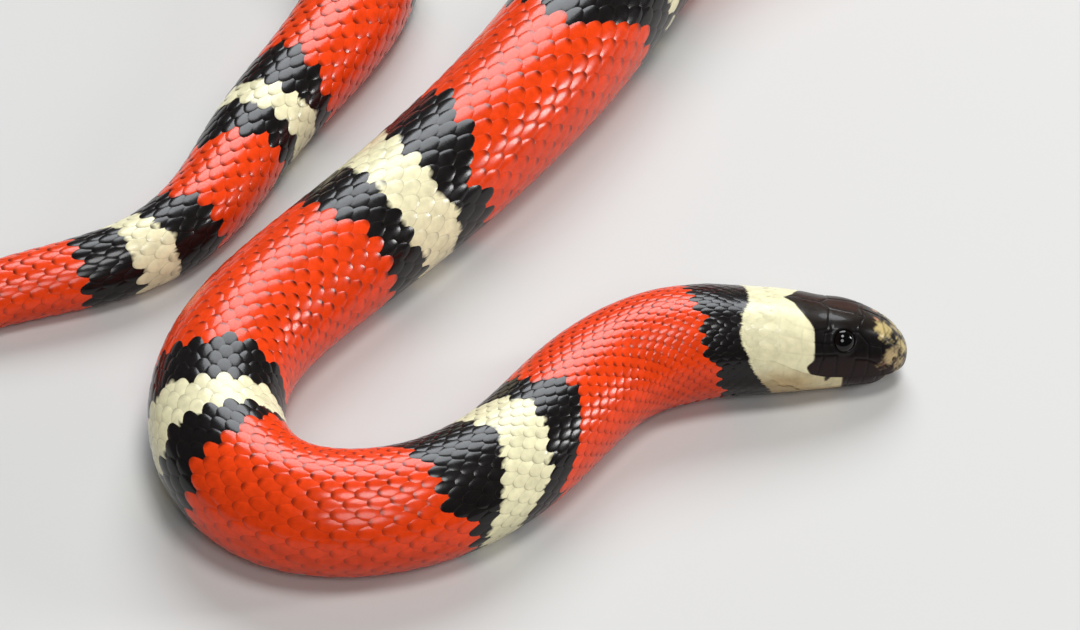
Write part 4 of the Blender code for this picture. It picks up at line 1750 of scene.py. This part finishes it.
@dataclass
class Belly:
    """The broad scutes of the belly and the paired ones under the tail.

    Attributes:
        round: The outline that they lie on.
        markings: The rings.
        bake: The map for their colours.
        start: Where they start.
        vent: Where the pairs start.
        tip_clearance: How far before the tail's tip they end.
        columns: How many points a scute has across.
        rows: Where its rows of points are, in scute lengths.
        foot: Place of its rim's foot, as a share of the last row's.
        corner: How much shorter it is at its ends, and the change's power.
        base: Height of its base over the solids' surface.
        tilt: How much higher it is at its back.
        thickness: Thickness of its free rim.
        overlap: How many rows of scales it reaches under.
        pair_overlap: How far one of a pair reaches over the middle.
        tones: Least and greatest light by chance.
        foot_shade: Painted shade: how much light the foot of the rim takes.
        seed: Seed of the random draws.
    """

    round: Round
    markings: Markings
    bake: BakeMap
    start: float = 26.0 * MM
    vent: float = 852.0 * MM
    tip_clearance: float = 7.0 * MM
    columns: int = 17
    rows: tuple[float, ...] = (-0.6, -0.2, 0.2, 0.44, 0.56)
    foot: float = 0.98
    corner: Pair = (0.3, 5)
    base: float = -0.27 * MM
    tilt: float = 0.20 * MM
    thickness: float = 0.14 * MM
    overlap: float = 1.0
    pair_overlap: float = 0.06
    tones: Pair = (0.9, 1.0)
    foot_shade: float = 0.4
    seed: int = 8

    def build(self) -> bpy.types.Object:
        """Make all the scutes as one piece."""
        distance, pitch, low, high = np.array(self._roots()).T
        across = np.linspace(-1.0, 1.0, self.columns)
        along = np.array(self.rows + (self.rows[-1] * self.foot,))
        shorter, power = self.corner
        x = along[:, None] * (1 - shorter * np.abs(across) ** power)
        y = (across + 0 * x).ravel()
        x = x.ravel()
        down = (np.arange(len(x)) >= len(self.rows) * self.columns).astype(float)
        at = distance[:, None] + x * pitch[:, None]
        reach = low[:, None] + (high - low)[:, None] * (y + 1) / 2
        share = 1.0 - reach / self.round.half_girth(at)
        height = self.base + self.tilt * x - down * self.thickness
        points = self.round.lifted(at, share, height * coat_size(distance)[:, None])
        tone = np.random.default_rng(self.seed).uniform(*self.tones, len(distance))
        # Painted shade darkens the foot of each scute's rim.
        light = tone[:, None] * (1 - self.foot_shade * down)
        hues = self.markings.scale_hues(at, folded(share)) * light[..., None]
        middle = 1.0 - (low + high) / 2 / self.round.half_girth(distance)
        places = self.bake.places(distance, middle, x, y)
        columns = self.columns
        corners = [row * columns + column
                   for row in range(len(self.rows)) for column in range(columns - 1)]
        quads = np.array([(i, i + 1, i + columns + 1, i + columns) for i in corners])
        return joined("belly_scutes", points, (quads,), hues, places)

    def _roots(self) -> list[tuple[float, float, float, float]]:
        """Lay out the scutes: one broad plate for each length, and pairs behind the vent.

        Returns:
            Each plate's distance and length, and how far it reaches from the middle of the
            belly to the snake's left (less than 0) and right.
        """
        roots = []
        distance = self.start
        while distance < self.round.spine.length - self.tip_clearance:
            pitch, girth, width = row_sizes(self.round, distance)
            reach = (1 - BACK_SHARE) * girth + self.overlap * width
            over = self.pair_overlap * reach
            if distance < self.vent:
                roots.append((distance, pitch, -reach, reach))
            else:
                roots.append((distance, pitch, -reach, over))
                roots.append((distance + pitch / 2, pitch, -over, reach))
            distance += pitch
        return roots


Socket = bpy.types.NodeSocket


class Shading:
    """The nodes of one material, which are made and joined by short calls.

    Attributes:
        material: The material.
        shader: Its surface node.
    """

    def __init__(self, name: str) -> None:
        """Start a material that has only its surface node yet.

        Args:
            name: Name of the material.
        """
        self.material = bpy.data.materials.new(name)
        self.material.use_nodes = True
        self.shader = self.material.node_tree.nodes["Principled BSDF"]

    def feed(self, node: bpy.types.Node, inputs: dict) -> None:
        """Give a node its inputs.

        Args:
            node: The node.
            inputs: A value or a node's output for each input.
        """
        for name, value in inputs.items():
            if isinstance(value, Socket):
                self.material.node_tree.links.new(value, node.inputs[name])
            else:
                node.inputs[name].default_value = value

    def add(self, kind: str, output: str, inputs: dict | None = None,
            settings: dict | None = None) -> Socket:
        """Add a node.

        Args:
            kind: Its type, without the words that all types start with.
            output: Name of its output.
            inputs: A value or a node's output for each input.
            settings: Its other settings, by name.

        Returns:
            The output.
        """
        node = self.material.node_tree.nodes.new("ShaderNode" + kind)
        for name, value in (settings or {}).items():
            setattr(node, name, value)
        self.feed(node, inputs or {})
        return node.outputs[output]

    def noise(self, scale: float, detail: float = 2.0) -> Socket:
        """Add a noise over the object's own coordinates, with some finer layers."""
        place = self.add("TexCoord", "Object")
        return self.add("TexNoise", "Fac", {"Vector": place, "Scale": scale, "Detail": detail})

    def stretched(self, value: Socket, limits: Pair, results: Pair = (0.0, 1.0)) -> Socket:
        """Stretch a value between its limits to the results."""
        names = ("Value", "From Min", "From Max", "To Min", "To Max")
        return self.add("MapRange", "Result", dict(zip(names, (value, *limits, *results))))

    def mixed(self, factor: float | Socket, first: tuple | Socket, second: tuple | Socket,
              blend: str = "MIX") -> Socket:
        """Mix two colours, with a factor for the second one."""
        inputs = {"Factor": factor, "A": first, "B": second}
        return self.add("Mix", "Result", inputs, {"data_type": "RGBA", "blend_type": blend})


@dataclass(frozen=True)
class ScaleFinish:
    """Glossy living scales, coloured by each point's own hue.

    Attributes:
        name: Name of the material.
        roughness: Lowest and highest roughness.
        reflection: How much it mirrors.
        gloss: Strength of the wet coat over it.
        gloss_roughness: Roughness of that coat.
        mottle: Size of the fine mottling, as a noise scale.
        mottle_detail: How many finer layers it has.
        mottle_range: Its lowest and highest light.
        noise_range: The part of the noise that is stretched to those.
        grain: Size of the surface's grain, as a noise scale.
        relief: Strength of the grain.
        relief_depth: Depth of the grain.
    """

    name: str
    roughness: Pair = (0.17, 0.26)
    reflection: float = 0.24
    gloss: float = 0.12
    gloss_roughness: float = 0.10
    mottle: float = 700.0
    mottle_detail: float = 4.0
    mottle_range: Pair = (0.86, 1.08)
    noise_range: Pair = (0.3, 0.7)
    grain: float = 5200.0
    relief: float = 0.12
    relief_depth: float = 0.05 * MM

    def material(self) -> bpy.types.Material:
        """Make the material."""
        made = Shading(self.name)
        mottle = made.noise(self.mottle, self.mottle_detail)
        hue = made.add("Attribute", "Color", settings={"attribute_name": "Hue"})
        tone = made.stretched(mottle, self.noise_range, self.mottle_range)
        made.feed(made.shader, {
            "Base Color": made.mixed(1.0, hue, tone, "MULTIPLY"),
            "Roughness": made.stretched(mottle, self.noise_range, self.roughness),
            "Specular IOR Level": self.reflection,
            "Coat Weight": self.gloss,
            "Coat Roughness": self.gloss_roughness,
            "Normal": made.add("Bump", "Normal", {
                "Strength": self.relief, "Distance": self.relief_depth,
                "Height": made.noise(self.grain)}),
        })
        return made.material


@dataclass(frozen=True)
class EyeFinish:
    """A wet, nearly black eye with a dark brown iris round its pupil.

    Attributes:
        name: Name of the material.
        eye: The eye that it is for.
        pupil: Radius of the pupil.
        pupil_edge: Where its edge starts and ends, in radii.
        iris: The iris's colour.
        shadow: Light of the iris's darkest flecks, as a share.
        fleck: Size of the flecks, as a noise scale.
        dark: The pupil's colour.
        roughness: Roughness of the wet surface.
        reflection: How much it mirrors.
    """

    name: str
    eye: Eye
    pupil: float = 1.15 * MM
    pupil_edge: Pair = (0.94, 1.04)
    iris: Rgb = (0.0060, 0.0035, 0.0028)
    shadow: float = 0.5
    fleck: float = 4000.0
    dark: Rgb = (0.0012, 0.0012, 0.0012)
    roughness: float = 0.04
    reflection: float = 0.34

    def material(self) -> bpy.types.Material:
        """Make the material."""
        made = Shading(self.name)
        front = Vector(self.eye.centre + self.eye.facing * self.eye.depth)
        place = made.add("TexCoord", "Object")
        away = made.add("VectorMath", "Value", {0: place, 1: front}, {"operation": "DISTANCE"})
        start, end = (self.pupil * share for share in self.pupil_edge)
        shadow = tuple(self.shadow * value for value in self.iris)
        iris = made.mixed(made.noise(self.fleck), (*shadow, 1.0), (*self.iris, 1.0))
        outside = made.stretched(away, (start, end))
        made.feed(made.shader, {
            "Base Color": made.mixed(outside, (*self.dark, 1.0), iris),
            "Roughness": self.roughness,
            "Specular IOR Level": self.reflection,
        })
        return made.material


@dataclass(frozen=True)
class FloorFinish:
    """Plain, pale, matt board."""

    name: str = "pale_board"
    colour: Rgb = (0.62, 0.61, 0.59)
    roughness: float = 0.8

    def material(self) -> bpy.types.Material:
        """Make the material."""
        made = Shading(self.name)
        made.feed(made.shader, {
            "Base Color": (*self.colour, 1.0), "Roughness": self.roughness})
        return made.material


@dataclass(frozen=True)
class Lamp:
    """One soft oval light of some watts, in a direction and distance from the snake."""

    name: str
    toward: Triple
    distance: float
    size: Pair
    power: float
    colour: Rgb = (1.0, 1.0, 1.0)

    def build(self, aim: Vector) -> None:
        """Hang the light, so that it looks at a point.

        Args:
            aim: The point.
        """
        data = bpy.data.lights.new(self.name, "AREA")
        data.shape = "ELLIPSE"
        data.size, data.size_y = self.size
        data.energy = self.power
        data.color = self.colour
        lamp = bpy.data.objects.new(self.name, data)
        away = Vector(self.toward).normalized()
        lamp.location = aim + away * self.distance
        lamp.rotation_euler = away.to_track_quat("Z", "Y").to_euler()
        bpy.context.scene.collection.objects.link(lamp)


@dataclass
class Studio:
    """The pale floor, the soft lights and the camera.

    Attributes:
        aim: The point that camera and lamps look at.
        elevation: Degrees that the camera looks down.
        distance: How far it is from that point.
        lens: Its focal length in millimetres.
        sensor: Width of its sensor in millimetres.
        nearest: The least distance at which it sees.
        floor_size: Width of the floor.
        floor_drop: How far the floor lies under the snake.
        sky: Colour of the light from all round.
        sky_strength: Its strength.
        lamps: The lights.
    """

    aim: Triple = (0.0189, -0.1048, 0.010)
    elevation: float = 42.0
    distance: float = 0.6045
    lens: float = 135.0
    sensor: float = 36.0
    nearest: float = 0.01
    floor_size: float = 6.0
    floor_drop: float = 0.05 * MM
    sky: Rgb = (0.95, 0.97, 1.0)
    sky_strength: float = 0.08
    lamps: tuple[Lamp, ...] = (
        Lamp("key", (0.16, -0.12, 0.98), 0.9, (0.32, 0.32), 3.2),
        Lamp("front_fill", (0.12, -0.68, 0.72), 0.9, (0.36, 0.36), 2.3),
        Lamp("back_panel", (0.06, 0.74, 0.67), 1.2, (0.88, 0.70), 12.5, (0.92, 0.96, 1.0)),
        Lamp("side", (0.93, 0.12, 0.36), 0.9, (0.12, 0.26), 2.2),
    )

    def build(self) -> None:
        """Set up everything round the snake."""
        self._floor()
        for lamp in self.lamps:
            lamp.build(Vector(self.aim))
        world = bpy.data.worlds.new("studio")
        world.use_nodes = True
        background = world.node_tree.nodes["Background"]
        background.inputs["Color"].default_value = (*self.sky, 1.0)
        background.inputs["Strength"].default_value = self.sky_strength
        bpy.context.scene.world = world
        bpy.context.scene.camera = self._camera()
        bpy.context.scene.view_settings.view_transform = "Standard"

    def _camera(self) -> bpy.types.Object:
        """Put up the camera."""
        data = bpy.data.cameras.new("camera")
        data.lens = self.lens
        data.sensor_width = self.sensor
        data.clip_start = self.nearest
        camera = bpy.data.objects.new("camera", data)
        down = math.radians(self.elevation)
        away = Vector((0.0, -math.cos(down), math.sin(down)))
        camera.location = Vector(self.aim) + away * self.distance
        camera.rotation_euler = (math.pi / 2 - down, 0.0, 0.0)
        bpy.context.scene.collection.objects.link(camera)
        return camera

    def _floor(self) -> None:
        """Lay the floor."""
        bm = bmesh.new()
        bmesh.ops.create_grid(bm, x_segments=2, y_segments=2, size=self.floor_size / 2)
        bmesh.ops.translate(bm, verts=bm.verts, vec=(0.0, 0.0, -self.floor_drop))
        floor = finished("floor", bm)
        floor.data.materials.append(FloorFinish().material())


@dataclass
class Snake:
    """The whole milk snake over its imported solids.

    Attributes:
        nodes: Names of the solids that the skin replaces.
    """

    nodes: tuple[str, ...]

    def build(self) -> None:
        """Make every piece and put it on the body."""
        form, markings, bake = Round(Spine()), Markings(), BakeMap()
        eyes = tuple(Eye(right, form) for right in (True, False))
        skin = Skin(form, HeadPlan(), markings, eyes)
        shields = ScaleFinish(
            "head_shields_and_skin", roughness=(0.26, 0.38), reflection=0.13, gloss=0.14,
            gloss_roughness=0.06)
        piece = skin.build()
        self._dress(piece, shields.material(), "scaled_skin")
        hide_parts(*self.nodes)
        scales = ScaleFinish("body_scales").material()
        coat = Coat(form, markings, skin, ScalePattern(), bake)
        for piece in (*coat.build(), Belly(form, markings, bake).build()):
            self._dress(piece, scales, "scaled_skin")
        for eye in eyes:
            ball = eye.build()
            self._dress(ball, EyeFinish("wet_eye_" + eye.side, eye).material(), "eye")
            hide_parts("eye_" + eye.side)

    @staticmethod
    def _dress(piece: bpy.types.Object, finish: bpy.types.Material, slot: str) -> None:
        """Give a piece its material and its body.

        Args:
            piece: The piece.
            finish: Its material.
            slot: Not used.
        """
        piece.data.materials.append(finish)
        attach(piece, "root")
        LOG.info("%s: %d faces", piece.name, len(piece.data.polygons))


def main() -> None:
    """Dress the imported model."""
    logging.basicConfig(level=logging.INFO, format="%(name)s: %(message)s")
    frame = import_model()
    flesh = tuple(name for name in frame["nodes"] if not name.startswith("eye_"))
    Studio().build()
    Snake(flesh).build()


if __name__ == "__main__":
    main()
